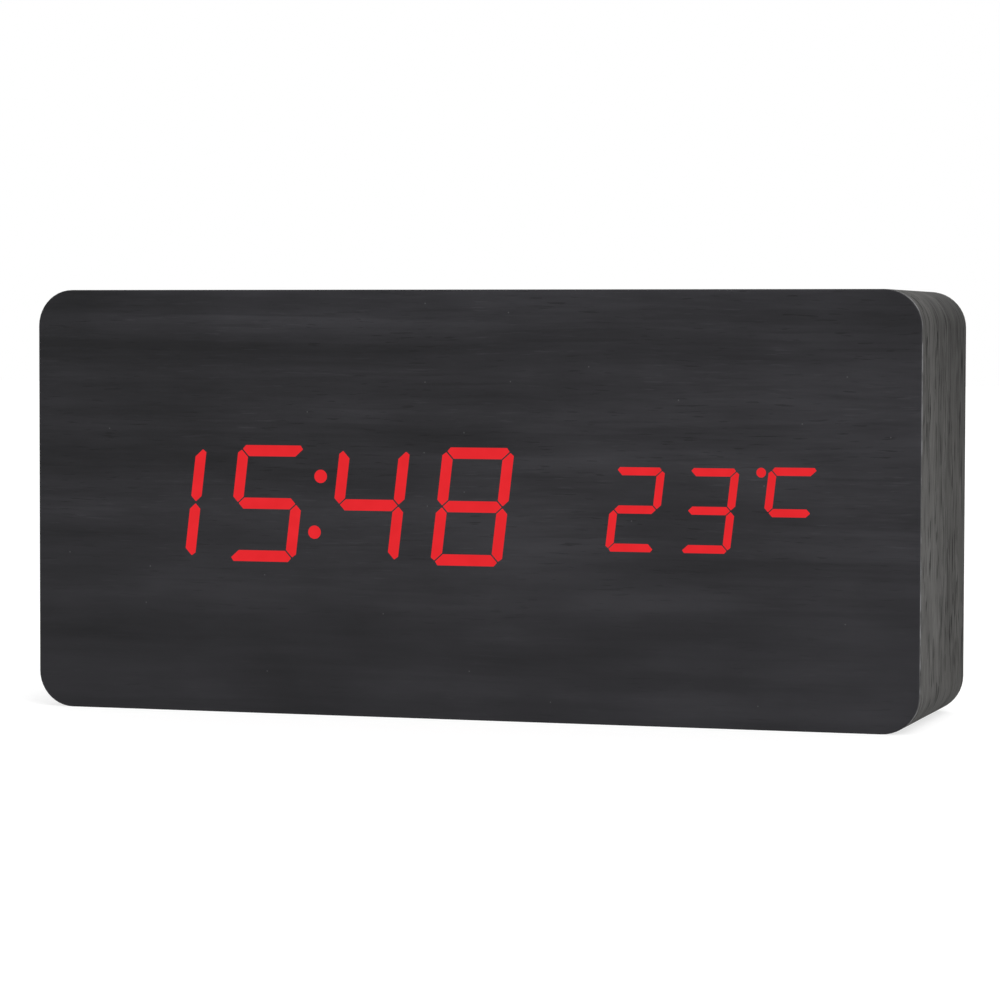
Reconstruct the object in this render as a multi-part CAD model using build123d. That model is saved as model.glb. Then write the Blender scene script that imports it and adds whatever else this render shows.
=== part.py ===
from build123d import *

import math
import os

# A desk clock: a block of fibreboard covered with dark wood-grain film. Red figures shine through the
# front film, large ones for the hours and minutes and small ones for the temperature. A plastic panel let
# into the back holds the battery bay with its hinged door, three push buttons, a power socket, a
# microphone and a temperature probe. +Z is up, the figures face -Y and the origin is the middle of the
# underside. All sizes are in millimetres.

# What the clock shows
time_shown = "15:48"
temperature_shown = "23 C"

# The level and upright strokes that are lit in each figure: a at the top, then clockwise to f, g across
strokes_of = {
    "0": "abcdef",
    "1": "bc",
    "2": "abged",
    "3": "abgcd",
    "4": "fgbc",
    "5": "afgcd",
    "6": "afgedc",
    "7": "abc",
    "8": "abcdefg",
    "9": "abcdfg",
}
every_stroke = "abcdefg"
celsius_strokes = "afg"

# Large figures. Widths and rises are between the middles of two strokes.
big = {"width": 10.3, "rise": 8.7, "stroke": 1.84, "gap": 0.22}
big_pitch = 17.77
colon_diameter = 2.2
colon_rise = 4.6

# Small figures, with the degree dot and the C
small = {"width": 7.1, "rise": 6.14, "stroke": 1.3, "gap": 0.17}
small_pitch = 12.17
temperature_gap = 27.35  # from the last large figure to the first small one
celsius_gap = 13.08  # from the last small figure to the C
celsius_width = 6.95
celsius_rise = 6.57
celsius_lift = 3.11  # middle of the C above the middle of the figures
degree_diameter = 1.56
degree_gap = 1.85  # degree dot to the C's upright stroke
degree_rise = 6.2  # degree dot above the middle of the figures

lean_share = 0.117  # sideways step of a figure for each unit of its height
tip_share = 0.66  # how far across its stroke the tip of a corner end is
tip_cut_share = 0.27  # run of the cut outside that tip
tip_round_share = 0.07

# Display: the window in the wood, the mask with its light slots, and the board behind it
window_margin = 1.373
window_margin_above = 1.87
window_corner = 1.0
window_clearance = 0.2
mask_wall = 0.5  # between two light slots
mask_nose = 3.7
mask_flange = 3.0
mask_side_lip = 1.3
mask_end_lip = 3.6
display_drop = 0.23  # middle of the figures below the middle of the block
display_board_thickness = 1.6
board_clearance = 0.8
diffuser_thickness = 0.3

# Chip LEDs: length, width and height
large_led = (2.0, 1.25, 0.8)
small_led = (1.6, 0.8, 0.6)
tiny_led = (1.0, 0.5, 0.4)
led_spread = 4.4

# AAA cells
cell_count = 4
cell_diameter = 10.4
cell_length = 44.0
cell_spacing = 0.4
cell_edge_radius = 0.4
nub_diameter = 3.8
nub_height = 1.0

# Contacts of the cells
contact_thickness = 0.3
contact_width = 7.0
contact_height = 7.2
contact_bridge = 2.4
dimple_height = 0.4
dimple_diameter = 3.4
spring_length = 3.6
spring_wire = 0.5
spring_base_diameter = 6.2
spring_tip_diameter = 4.2
spring_turns = 3
lug_width = 2.4
lug_reach = 3.0
lug_slot_clearance = 0.1

# Battery bay, moulded in one with the rear panel
bay_clearance = 0.35
bay_floor_gap = 0.3
bay_wall = 1.0
bay_floor = 1.2
bay_ledge = 0.8
bay_shelf = 1.6
bay_side_room = 3.2
bay_rib_width = 1.2
bay_rib_height = 2.2
bay_opening_corner = 3.0
door_cell_gap = 0.6

# Battery door, with its hinge tabs and its spring latch
door_thickness = 1.6
door_clearance = 0.2
tab_width = 8.0
tab_thickness = 1.2
tab_foot = 1.4
tab_reach = 2.0
tab_gap = 0.3
tab_clearance = 0.3
tab_spread = 28.0
latch_width = 10.0
latch_thickness = 0.8
latch_loop_radius = 0.7
latch_depth = 5.0
latch_hook = 1.4
latch_hook_thickness = 0.5
latch_hook_slope = 1.3
latch_finger_gap = 0.6
latch_clearance = 0.4
grip_rib_count = 5
grip_rib_width = 0.7
grip_rib_height = 0.35
grip_rib_length = 12.0
grip_rib_pitch = 1.7
grip_rib_inset = 4.0

# Rear panel
panel_thickness = 2.0
panel_recess = 1.0
panel_clearance = 0.2
panel_ledge = 3.4
panel_corner = 4.0
panel_edge_radius = 0.3
wiring_space = 15.7

# Case and films
border_side = 9.1
border_above = 6.0
body_corner = 6.0
cavity_corner = 8.0
front_film = 0.6
edge_film = 0.5
back_film = 0.5
film_edge_radius = 0.25

# Screws
panel_screw = {"shank": 2.6, "length": 9.0, "head": 4.6, "head height": 1.3}
display_screw = {"shank": 2.0, "length": 7.6, "head": 3.6, "head height": 1.2}
post_screw = {"shank": 2.0, "length": 6.0, "head": 3.6, "head height": 1.2}
screw_clearance = 0.2
screw_bite_clearance = 0.02
screw_end_gap = 0.4
screw_head_sink = 0.8
screw_head_round_share = 0.35
recess_width_share = 0.17
recess_length_share = 0.6
recess_depth_share = 0.5
panel_screw_inset = 3.4
display_screw_inset = 3.0
display_screw_end_inset = 1.8
post_diameter = 4.6
post_inset = 3.0

# Buttons, from the panel inwards: cap, flange, stem and switch
button_diameter = 5.0
button_clearance = 0.15
button_proud = 0.7
button_edge_radius = 0.4
button_travel = 0.3
button_pitch = 12.5
flange_diameter = 6.8
flange_thickness = 0.8
flange_gap = 0.2
stem_diameter = 3.4
stem_height = 1.5
stem_clearance = 0.1
stem_depth = 1.0
switch_side = 6.0
switch_height = 3.5
mark_size = 2.6
mark_line = 0.6
mark_depth = 0.3
mark_drop = 6.0

# Control board
control_board_thickness = 1.6
control_board_margin = 2.5
control_board_margin_above = 5.0
control_board_gap = 4.0

# Power socket for a 3.5 mm plug with a 1.3 mm pin
socket_side = 7.0
socket_nose_diameter = 5.6
socket_nose_clearance = 0.1
socket_bore = 3.6
socket_pin = 1.3
socket_floor = 1.0
socket_pin_recess = 1.0

# Probe, microphone, buzzer and the other parts on the boards
probe_diameter = 2.4
probe_length = 3.2
probe_hole_diameter = 3.2
probe_recess = 0.6
probe_wire = 0.5
probe_wire_spread = 1.2
probe_round_share = 0.25
microphone_diameter = 6.0
microphone_height = 2.7
microphone_hole_diameter = 1.6
microphone_clearance = 0.1
microphone_collar = 0.8
microphone_pin = 0.6
microphone_pin_spread = 2.5
buzzer_diameter = 12.0
buzzer_height = 8.5
buzzer_port_diameter = 2.0
buzzer_port_depth = 1.0
crystal_diameter = 2.0
crystal_length = 6.0
capacitor_diameter = 6.3
capacitor_height = 7.0
capacitor_edge_radius = 0.5
capacitor_pitch = 8.0
chip_width = 7.5
chip_height = 2.3
chip_lift = 0.2
chip_leg_count = 14
chip_leg_pitch = 1.27
chip_end = 0.695  # from the middle of the last leg to the end of the body
chip_leg_width = 0.42
chip_leg_thickness = 0.3
chip_leg_reach = 1.4
resistor_size = (1.25, 2.0, 0.5)
resistor_count = 8
resistor_pitch = 3.0
vent_count = 5
vent_width = 1.2
vent_height = 7.0
vent_pitch = 2.6

# Wires
ribbon_width = 12.0
ribbon_thickness = 0.7
ribbon_step = 9.0
ribbon_socket = (5.0, 4.0, 14.0)
bend_share = 0.45  # a bend's radius in its shorter run
lead_diameter = 1.3
lead_dip = 7.0
lead_board_inset = 7.5

# Places on the boards, as shares of the board's width and height from its middle
button_place_share = (0.0, 0.24)
socket_place_share = (0.29, -0.27)
microphone_place_share = (0.0, -0.27)
probe_place_share = (-0.29, -0.27)
vent_place_share = (0.33, 0.02)
buzzer_place_share = (0.29, 0.12)
crystal_place_share = (-0.02, 0.38)
capacitor_place_share = (0.26, -0.3)
clock_chip_place_share = (-0.2, 0.2)
ribbon_place_share = (0.06, -0.1)
driver_place_shares = ((-0.32, 0.0), (-0.06, 0.0))
resistor_place_share = (0.14, 0.28)

cut_over = 1.0  # how far a cut runs past what it cuts

# Depths, from the front of the film to the back of the block
block_depth = (
    front_film
    + diffuser_thickness
    + mask_nose
    + mask_flange
    + display_board_thickness
    + wiring_space
    + bay_floor
    + bay_floor_gap
    + cell_diameter
    + door_cell_gap
    + door_thickness
    + panel_recess
)
front = -block_depth / 2
back = block_depth / 2
film_back = front + front_film
diffuser_back = film_back + diffuser_thickness
wall_back = diffuser_back + mask_nose
mask_back = wall_back + mask_flange
display_back = mask_back + display_board_thickness
bay_front = display_back + wiring_space
panel_face = back - panel_recess
panel_back = panel_face - panel_thickness
door_back = panel_face - door_thickness
cell_y = door_back - door_cell_gap - cell_diameter / 2
flange_front = panel_back - flange_gap - flange_thickness
switch_face = flange_front - stem_height
board_rear = switch_face - switch_height
board_front = board_rear - control_board_thickness

# Widths
figure_half = big["rise"] + big["stroke"] / 2
figure_reach = (big["width"] + big["stroke"]) / 2 + lean_share * figure_half
celsius_half = (celsius_rise + small["stroke"]) / 2
celsius_reach = (celsius_width + small["stroke"]) / 2 + lean_share * (celsius_half + celsius_lift)
figure_run = 3 * big_pitch + temperature_gap + small_pitch + celsius_gap
window_width = figure_reach + figure_run + celsius_reach + 2 * window_margin
display_width = window_width + 2 * mask_side_lip
cavity_width = display_width + 2 * board_clearance
opening_width = cavity_width + 2 * panel_ledge
block_width = opening_width + 2 * border_side
bay_length = 2 * contact_thickness + spring_length + cell_length + dimple_height
bay_left = -cavity_width / 2 + bay_side_room + bay_wall
bay_right = bay_left + bay_length
bay_x = (bay_left + bay_right) / 2
door_opening_width = bay_length + 2 * bay_ledge
control_left = bay_x + door_opening_width / 2 + bay_wall + control_board_gap
control_right = cavity_width / 2 - control_board_margin
control_width = control_right - control_left
control_x = (control_left + control_right) / 2

# Heights
bay_height = cell_count * cell_diameter + (cell_count - 1) * cell_spacing + 2 * bay_clearance
door_opening_height = bay_height + 2 * bay_ledge
latch_outer = 2 * latch_loop_radius + latch_thickness - door_clearance  # above the door opening
latch_notch = latch_outer + latch_finger_gap
latch_room = latch_outer + latch_hook + latch_clearance
tab_room = tab_reach + tab_clearance
cavity_height = tab_room + door_opening_height + latch_room
opening_height = cavity_height + 2 * panel_ledge
block_height = opening_height + 2 * border_above
middle = block_height / 2
hinge_z = middle - cavity_height / 2 + tab_room
opening_top = hinge_z + door_opening_height
bay_z = hinge_z + door_opening_height / 2
door_top = opening_top - door_clearance
control_height = cavity_height - 2 * control_board_margin_above
display_z = middle - display_drop
window_height = 2 * (figure_half + window_margin_above)
display_height = window_height + 2 * mask_end_lip
cell_pitch = cell_diameter + cell_spacing
cell_z = [bay_z + (number - (cell_count - 1) / 2) * cell_pitch for number in range(cell_count)]

# Where the figures stand along the display
figure_x = [-window_width / 2 + window_margin + figure_reach + number * big_pitch for number in range(4)]
colon_x = (figure_x[1] + figure_x[2]) / 2
small_x = [figure_x[3] + temperature_gap + number * small_pitch for number in range(2)]
celsius_x = small_x[1] + celsius_gap + lean_share * celsius_lift
celsius_z = display_z + celsius_lift
degree_z = display_z + degree_rise
degree_x = celsius_x - celsius_width / 2 - degree_gap + lean_share * (degree_rise - celsius_lift)


# A box between two places along each axis
def block(x0, x1, y0, y1, z0, z1):
    place = Pos((x0 + x1) / 2, (y0 + y1) / 2, (z0 + z1) / 2)
    return place * Box(x1 - x0, y1 - y0, z1 - z0)


# A box of a given width and height about a place on the X-Z plane
def tablet(width, height, y0, y1, x, z):
    return block(x - width / 2, x + width / 2, y0, y1, z - height / 2, z + height / 2)


# An outline drawn in X and Z, made solid from y0 back to y1
def thicken(outline, y0, y1):
    plane = Plane(origin=(0, y1, 0), x_dir=(1, 0, 0), z_dir=(0, -1, 0))
    return extrude(plane * outline, amount=y1 - y0)


# A plate with rounded corners that stands across Y
def slab(width, height, corner, y0, y1, x=0, z=0):
    return thicken(Pos(x, z) * RectangleRounded(width, height, corner), y0, y1)


# A round piece along Y
def rod(diameter, y0, y1, x, z):
    return Pos(x, (y0 + y1) / 2, z) * Rot(90, 0, 0) * Cylinder(diameter / 2, abs(y1 - y0))


# A round piece along X
def bar(diameter, x0, x1, y, z):
    return Pos((x0 + x1) / 2, y, z) * Rot(0, 90, 0) * Cylinder(diameter / 2, abs(x1 - x0))


# Rounds the rim of a piece's rearmost face, or of its foremost one
def round_rim(piece, last, radius):
    rim = piece.faces().sort_by(Axis.Y)[-1 if last else 0].outer_wire()
    return fillet(rim.edges(), radius)


# Outline points of one stroke of a figure, about the figure's middle and before it leans
def stroke_points(letter, size, gap):
    width = size["width"]
    rise = size["rise"]
    stroke = size["stroke"]
    half = stroke / 2
    set_back = gap / math.sqrt(2)
    tip = tip_share * stroke
    cut = tip_cut_share * stroke
    if letter == "g":
        end = width / 2 - half - set_back
        points = [(-end, -half), (end, -half), (end + half, 0), (end, half), (-end, half), (-end - half, 0)]
    elif letter in "ad":
        end = width / 2 - half - set_back
        under = rise - half
        points = [(-end, under), (end, under), (end + tip, under + tip), (end + tip - cut, rise + half)]
        points += [(-end - tip + cut, rise + half), (-end - tip, under + tip)]
    else:
        inner = width / 2 - half
        outer = width / 2 + half
        foot = half + set_back
        head = rise - half - set_back
        points = [(inner, foot), (width / 2, set_back), (outer, foot)]
        points += [(outer, head + tip - cut), (inner + tip, head + tip), (inner, head)]
    if letter in "ef":
        points = [(-x, z) for x, z in points]
    if letter in "cde":
        points = [(x, -z) for x, z in points]
    return points


# Faces of the given strokes of a figure that stands at (x, z)
def figure(letters, size, gap, x, z):
    faces = []
    for letter in letters:
        points = [(x + u + lean_share * v, z + v) for u, v in stroke_points(letter, size, gap)]
        outline = make_face(Polyline(*points, close=True))
        faces.append(fillet(outline.vertices(), tip_round_share * size["stroke"]))
    return faces


# The C has the upper half of a figure's strokes: g is its foot
def celsius_face(letters, gap):
    size = {"width": celsius_width, "rise": celsius_rise, "stroke": small["stroke"], "gap": gap}
    foot = celsius_z - celsius_rise / 2
    return figure(letters, size, gap, celsius_x - lean_share * celsius_rise / 2, foot)


def dot_face(diameter, x, z):
    return Pos(x, z) * Circle(diameter / 2)


def colon_faces():
    places = [(colon_x + side * lean_share * colon_rise, display_z + side * colon_rise) for side in (-1, 1)]
    return [dot_face(colon_diameter, x, z) for x, z in places]


def thicken_all(faces, y0, y1):
    return [thicken(face, y0, y1) for face in faces]


# The lit parts of each figure, as inlays in the front film
def lit_figures(text, places, size):
    faces = []
    for number, letter in enumerate(text):
        faces += figure(strokes_of[letter], size, size["gap"], places[number], display_z)
    return thicken_all(faces, front, film_back)


def hour_digits():
    return lit_figures(time_shown.split(":")[0], figure_x[:2], big)


def minute_digits():
    return lit_figures(time_shown.split(":")[1], figure_x[2:], big)


def temperature_digits():
    return lit_figures(temperature_shown.split()[0], small_x, small)


def colon_dots():
    return thicken_all(colon_faces(), front, film_back)


def degree_dot():
    return thicken_all([dot_face(degree_diameter, degree_x, degree_z)], front, film_back)


def celsius_sign():
    return thicken_all(celsius_face(celsius_strokes, small["gap"]), front, film_back)


# Films and the wood
def front_veneer():
    film = slab(block_width, block_height, body_corner, front, film_back, z=middle)
    film = round_rim(film, False, film_edge_radius)
    inlays = hour_digits() + minute_digits() + temperature_digits()
    return film - (inlays + colon_dots() + degree_dot() + celsius_sign())


def core_slab(y0, y1):
    width = block_width - 2 * edge_film
    height = block_height - 2 * edge_film
    return slab(width, height, body_corner - edge_film, y0, y1, z=middle)


def edge_veneer():
    band = slab(block_width, block_height, body_corner, film_back, back - back_film, z=middle)
    return band - core_slab(film_back - cut_over, back)


def panel_opening(y0, y1):
    corner = panel_corner + panel_clearance
    return slab(opening_width, opening_height, corner, y0, y1, z=middle)


def back_veneer():
    film = slab(block_width, block_height, body_corner, back - back_film, back, z=middle)
    film = round_rim(film, True, film_edge_radius)
    return film - panel_opening(back - back_film - cut_over, back + cut_over)


def panel_screw_places():
    x = opening_width / 2 - panel_clearance - panel_screw_inset
    z = opening_height / 2 - panel_clearance - panel_screw_inset
    return [(side * x, middle + level * z) for side in (-1, 1) for level in (-1, 1)]


def display_screw_places():
    x = display_width / 2 - display_screw_inset
    z = display_height / 2 - display_screw_end_inset
    return [(side * x, display_z + level * z) for side in (-1, 0, 1) for level in (-1, 1)]


def post_places():
    x = control_width / 2 - post_inset
    z = control_height / 2 - post_inset
    return [(control_x + side * x, middle + level * z) for side in (-1, 1) for level in (-1, 1)]


# The hole that a screw cuts for itself, ahead of the face that its head rests on
def screw_bite(kind, x, z, seat, way):
    end = seat + way * (kind["length"] + screw_end_gap)
    return rod(kind["shank"] + 2 * screw_bite_clearance, seat, end, x, z)


# The wider hole through which a screw passes
def screw_pass(kind, x, z, y0, y1):
    return rod(kind["shank"] + 2 * screw_clearance, y0, y1, x, z)


def case_block():
    wood = core_slab(film_back, back - back_film)
    wood -= slab(window_width, window_height, window_corner, front, wall_back + cut_over, z=display_z)
    wood -= slab(cavity_width, cavity_height, cavity_corner, wall_back, back, z=middle)
    wood -= panel_opening(panel_back, back)
    for x, z in panel_screw_places():
        wood -= screw_bite(panel_screw, x, z, panel_face - screw_head_sink, -1)
    for x, z in display_screw_places():
        wood -= screw_bite(display_screw, x, z, display_back, -1)
    return wood


# A pan-headed screw: the head rests on the face at seat, and the shank runs ahead of it
def screw(kind, x, z, seat, way):
    top = seat - way * kind["head height"]
    head = rod(kind["head"], top, seat, x, z)
    head = round_rim(head, way < 0, screw_head_round_share * kind["head height"])
    width = recess_width_share * kind["head"]
    length = recess_length_share * kind["head"]
    floor = top + way * recess_depth_share * kind["head height"]
    y0 = min(floor, top - way * cut_over)
    y1 = max(floor, top - way * cut_over)
    head -= tablet(width, length, y0, y1, x, z)
    head -= tablet(length, width, y0, y1, x, z)
    return head + rod(kind["shank"], seat, seat + way * kind["length"], x, z)


def panel_screws():
    seat = panel_face - screw_head_sink
    return [screw(panel_screw, x, z, seat, -1) for x, z in panel_screw_places()]


def display_screws():
    return [screw(display_screw, x, z, display_back, -1) for x, z in display_screw_places()]


def control_board_screws():
    return [screw(post_screw, x, z, board_front, 1) for x, z in post_places()]


# Display
def diffuser_sheet():
    return slab(window_width, window_height, window_corner, film_back, diffuser_back, z=display_z)


def light_slots(y0, y1):
    faces = []
    for x in figure_x:
        faces += figure(every_stroke, big, mask_wall, x, display_z)
    for x in small_x:
        faces += figure(every_stroke, small, mask_wall, x, display_z)
    faces += celsius_face(celsius_strokes, mask_wall)
    faces += colon_faces()
    faces.append(dot_face(degree_diameter, degree_x, degree_z))
    return thicken_all(faces, y0, y1)


def segment_mask():
    width = window_width - 2 * window_clearance
    height = window_height - 2 * window_clearance
    corner = window_corner - window_clearance
    nose = slab(width, height, corner, diffuser_back, wall_back, z=display_z)
    flange = tablet(display_width, display_height, wall_back, mask_back, 0, display_z)
    mask = nose + flange - light_slots(diffuser_back - cut_over, mask_back + cut_over)
    for x, z in display_screw_places():
        mask -= screw_pass(display_screw, x, z, diffuser_back, mask_back + cut_over)
    return mask


def display_board():
    board = tablet(display_width, display_height, mask_back, display_back, 0, display_z)
    for x, z in display_screw_places():
        board -= screw_pass(display_screw, x, z, mask_back - cut_over, display_back + cut_over)
    return board


# Where the LEDs stand behind one figure: a place and whether the stroke is upright
def led_places(letters, size, x, z, spread):
    level = {"a": size["rise"], "g": 0, "d": -size["rise"]}
    side = {"b": (1, 1), "c": (1, -1), "e": (-1, -1), "f": (-1, 1)}
    places = []
    for letter in letters:
        for step in spread:
            if letter in level:
                u = step
                v = level[letter]
            else:
                u = side[letter][0] * size["width"] / 2
                v = side[letter][1] * size["rise"] / 2 + step
            places.append((x + u + lean_share * v, z + v, letter not in level))
    return places


def led(size, x, z, upright):
    width = size[1] if upright else size[0]
    height = size[0] if upright else size[1]
    return tablet(width, height, mask_back - size[2], mask_back, x, z)


def segment_leds():
    chips = []
    pair = (-led_spread / 2, led_spread / 2)
    for x in figure_x:
        chips += [led(large_led, *place) for place in led_places(every_stroke, big, x, display_z, pair)]
    for x in small_x:
        chips += [led(small_led, *place) for place in led_places(every_stroke, small, x, display_z, (0,))]
    sign = {"width": celsius_width, "rise": celsius_rise}
    foot = celsius_z - celsius_rise / 2
    sign_x = celsius_x - lean_share * celsius_rise / 2
    chips += [led(small_led, *place) for place in led_places(celsius_strokes, sign, sign_x, foot, (0,))]
    for side in (-1, 1):
        x = colon_x + side * lean_share * colon_rise
        chips.append(led(small_led, x, display_z + side * colon_rise, False))
    chips.append(led(tiny_led, degree_x, degree_z, False))
    return chips


# Boards and the parts on them
def display_place(share):
    return share[0] * display_width, display_z + share[1] * display_height


def control_place(share):
    return control_x + share[0] * control_width, middle + share[1] * control_height


# A flat chip with two rows of legs, standing on the face at seat
def chip(x, z, seat, way):
    low = seat + way * chip_lift
    high = seat + way * (chip_lift + chip_height)
    length = (chip_leg_count - 1) * chip_leg_pitch + 2 * chip_end
    body = tablet(length, chip_width, min(low, high), max(low, high), x, z)
    leg_top = low + way * chip_height / 2
    for side in (-1, 1):
        edge = z + side * chip_width / 2
        foot = edge + side * chip_leg_reach
        knee = edge + side * chip_leg_thickness
        for number in range(chip_leg_count):
            leg_x = x + (number - (chip_leg_count - 1) / 2) * chip_leg_pitch
            x0 = leg_x - chip_leg_width / 2
            x1 = leg_x + chip_leg_width / 2
            body += block(x0, x1, min(seat, leg_top), max(seat, leg_top), min(edge, knee), max(edge, knee))
            sole = seat + way * chip_leg_thickness
            body += block(x0, x1, min(seat, sole), max(seat, sole), min(edge, foot), max(edge, foot))
    return body


def led_driver_chips():
    return [chip(*display_place(share), display_back, 1) for share in driver_place_shares]


def clock_chip():
    return chip(*control_place(clock_chip_place_share), board_front, -1)


def resistors():
    x, z = display_place(resistor_place_share)
    pieces = []
    for number in range(resistor_count):
        place = x + (number - (resistor_count - 1) / 2) * resistor_pitch
        width, height, depth = resistor_size
        pieces.append(tablet(width, height, display_back, display_back + depth, place, z))
    return pieces


def control_board():
    board = tablet(control_width, control_height, board_front, board_rear, control_x, middle)
    for x, z in post_places():
        board -= screw_pass(post_screw, x, z, board_front - cut_over, board_rear + cut_over)
    return board


def quartz_crystal():
    x, z = control_place(crystal_place_share)
    y = board_front - crystal_diameter / 2
    return bar(crystal_diameter, x - crystal_length / 2, x + crystal_length / 2, y, z)


def alarm_buzzer():
    x, z = control_place(buzzer_place_share)
    end = board_front - buzzer_height
    port = rod(buzzer_port_diameter, end - cut_over, end + buzzer_port_depth, x, z)
    return rod(buzzer_diameter, end, board_front, x, z) - port


def capacitors():
    x, z = control_place(capacitor_place_share)
    cans = []
    for side in (-1, 1):
        can = rod(capacitor_diameter, board_front - capacitor_height, board_front, x, z)
        can = round_rim(can, False, capacitor_edge_radius)
        cans.append(Pos(side * capacitor_pitch / 2, 0, 0) * can)
    return cans


def microphone():
    x, z = control_place(microphone_place_share)
    pod = rod(microphone_diameter, panel_back - microphone_height, panel_back, x, z)
    for side in (-1, 1):
        pin_x = x + side * microphone_pin_spread / 2
        pod += rod(microphone_pin, board_rear, panel_back - microphone_height, pin_x, z)
    return pod


def temperature_probe():
    x, z = control_place(probe_place_share)
    tip = panel_face - probe_recess
    bead = rod(probe_diameter, tip - probe_length, tip, x, z)
    bead = round_rim(bead, True, probe_round_share * probe_diameter)
    for side in (-1, 1):
        bead += rod(probe_wire, board_rear, tip - probe_length, x + side * probe_wire_spread / 2, z)
    return bead


def power_socket():
    x, z = control_place(socket_place_share)
    housing = tablet(socket_side, socket_side, board_rear, panel_back, x, z)
    housing += rod(socket_nose_diameter, panel_back, panel_face, x, z)
    housing -= rod(socket_bore, board_rear + socket_floor, panel_face + cut_over, x, z)
    bottom = board_rear + socket_floor
    return housing + rod(socket_pin, bottom, panel_face - socket_pin_recess, x, z)


# Buttons
def button_place(number):
    x, z = control_place(button_place_share)
    return x + (number - 1) * button_pitch, z


def button_cap(number):
    x, z = button_place(number)
    cap = rod(button_diameter, flange_front, panel_face + button_proud, x, z)
    cap = round_rim(cap, True, button_edge_radius)
    return cap + rod(flange_diameter, flange_front, flange_front + flange_thickness, x, z)


def button_stem(number):
    x, z = button_place(number)
    return rod(stem_diameter, switch_face - stem_depth, flange_front, x, z)


def button_switches():
    switches = []
    for number in range(3):
        x, z = button_place(number)
        housing = tablet(switch_side, switch_side, board_rear, switch_face, x, z)
        floor = switch_face - stem_depth - 2 * button_travel
        bore = rod(stem_diameter + 2 * stem_clearance, floor, switch_face + cut_over, x, z)
        switches.append(housing - bore)
    return switches


# Sunk marks below the buttons: a ring, and a triangle up and down
def button_marks():
    marks = []
    for number in range(3):
        x, z = button_place(number)
        half = mark_size / 2
        if number == 0:
            outline = Circle(half) - Circle(half - mark_line)
        else:
            rise = half if number == 1 else -half
            outline = make_face(Polyline((-half, -rise), (half, -rise), (0, rise), close=True))
        place = Pos(x, z - mark_drop)
        marks.append(thicken(place * outline, panel_face - mark_depth, panel_face + cut_over))
    return marks


# Battery bay
def door_opening(y0, y1, clearance):
    width = door_opening_width - 2 * clearance
    height = door_opening_height - 2 * clearance
    return slab(width, height, bay_opening_corner - clearance, y0, y1, bay_x, bay_z)


def tab_places():
    return [bay_x + side * tab_spread / 2 for side in (-1, 1)]


# Room for the hinge tabs to swing behind the lip under the door
def tab_pockets():
    depth = panel_thickness + tab_gap + tab_thickness
    radius = math.hypot(depth, tab_reach) + tab_clearance
    pockets = []
    for x in tab_places():
        x0 = x - tab_width / 2 - tab_clearance
        x1 = x + tab_width / 2 + tab_clearance
        room = bar(2 * radius, x0, x1, panel_face, hinge_z)
        pockets.append(room - block(x0, x1, panel_back, back, hinge_z - 2 * radius, hinge_z))
    return pockets


# Notch in the panel over the latch, and room for the latch in the bay's wall
def latch_pockets():
    x0 = bay_x - latch_width / 2 - latch_clearance
    x1 = bay_x + latch_width / 2 + latch_clearance
    low = door_top - latch_thickness - latch_clearance
    deep = door_back - latch_depth - latch_clearance
    wall_top = opening_top + bay_wall + cut_over
    notch = block(x0, x1, door_back, back, door_top, opening_top + latch_notch)
    under = block(x0, x1, panel_back - cut_over, door_back, door_top, opening_top + latch_notch)
    wall = block(x0, x1, deep, panel_back, low, wall_top)
    ledge = block(x0, x1, deep, door_back, low, door_top)
    return [notch, under, wall, ledge]


def bay_shell():
    x0 = bay_left - bay_wall
    x1 = bay_right + bay_wall
    z0 = bay_z - bay_height / 2 - bay_wall
    z1 = bay_z + bay_height / 2 + bay_wall
    return block(x0, x1, bay_front, panel_back, z0, z1)


def bay_room():
    z0 = bay_z - bay_height / 2
    z1 = bay_z + bay_height / 2
    return block(bay_left, bay_right, bay_front + bay_floor, door_back, z0, z1)


def bay_ribs():
    ribs = []
    x0 = bay_left + spring_length + contact_thickness
    x1 = bay_right - spring_length - contact_thickness
    floor = bay_front + bay_floor
    for number in range(cell_count - 1):
        z = (cell_z[number] + cell_z[number + 1]) / 2
        ribs.append(tablet(x1 - x0, bay_rib_width, floor, floor + bay_rib_height, (x0 + x1) / 2, z))
    return ribs


def lug_slots():
    slots = []
    for z in (cell_z[0], cell_z[-1]):
        height = lug_width + 2 * lug_slot_clearance
        depth = contact_thickness / 2 + lug_slot_clearance
        slot = tablet(bay_wall, height, cell_y - depth, cell_y + depth, bay_right + bay_wall / 2, z)
        slots.append(slot)
    return slots


def vent_slots():
    x, z = control_place(vent_place_share)
    slots = []
    for number in range(vent_count):
        place = x + (number - (vent_count - 1) / 2) * vent_pitch
        outline = Pos(place, z) * SlotOverall(vent_height, vent_width, rotation=90)
        slots.append(thicken(outline, panel_back - cut_over, panel_face + cut_over))
    return slots


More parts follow.
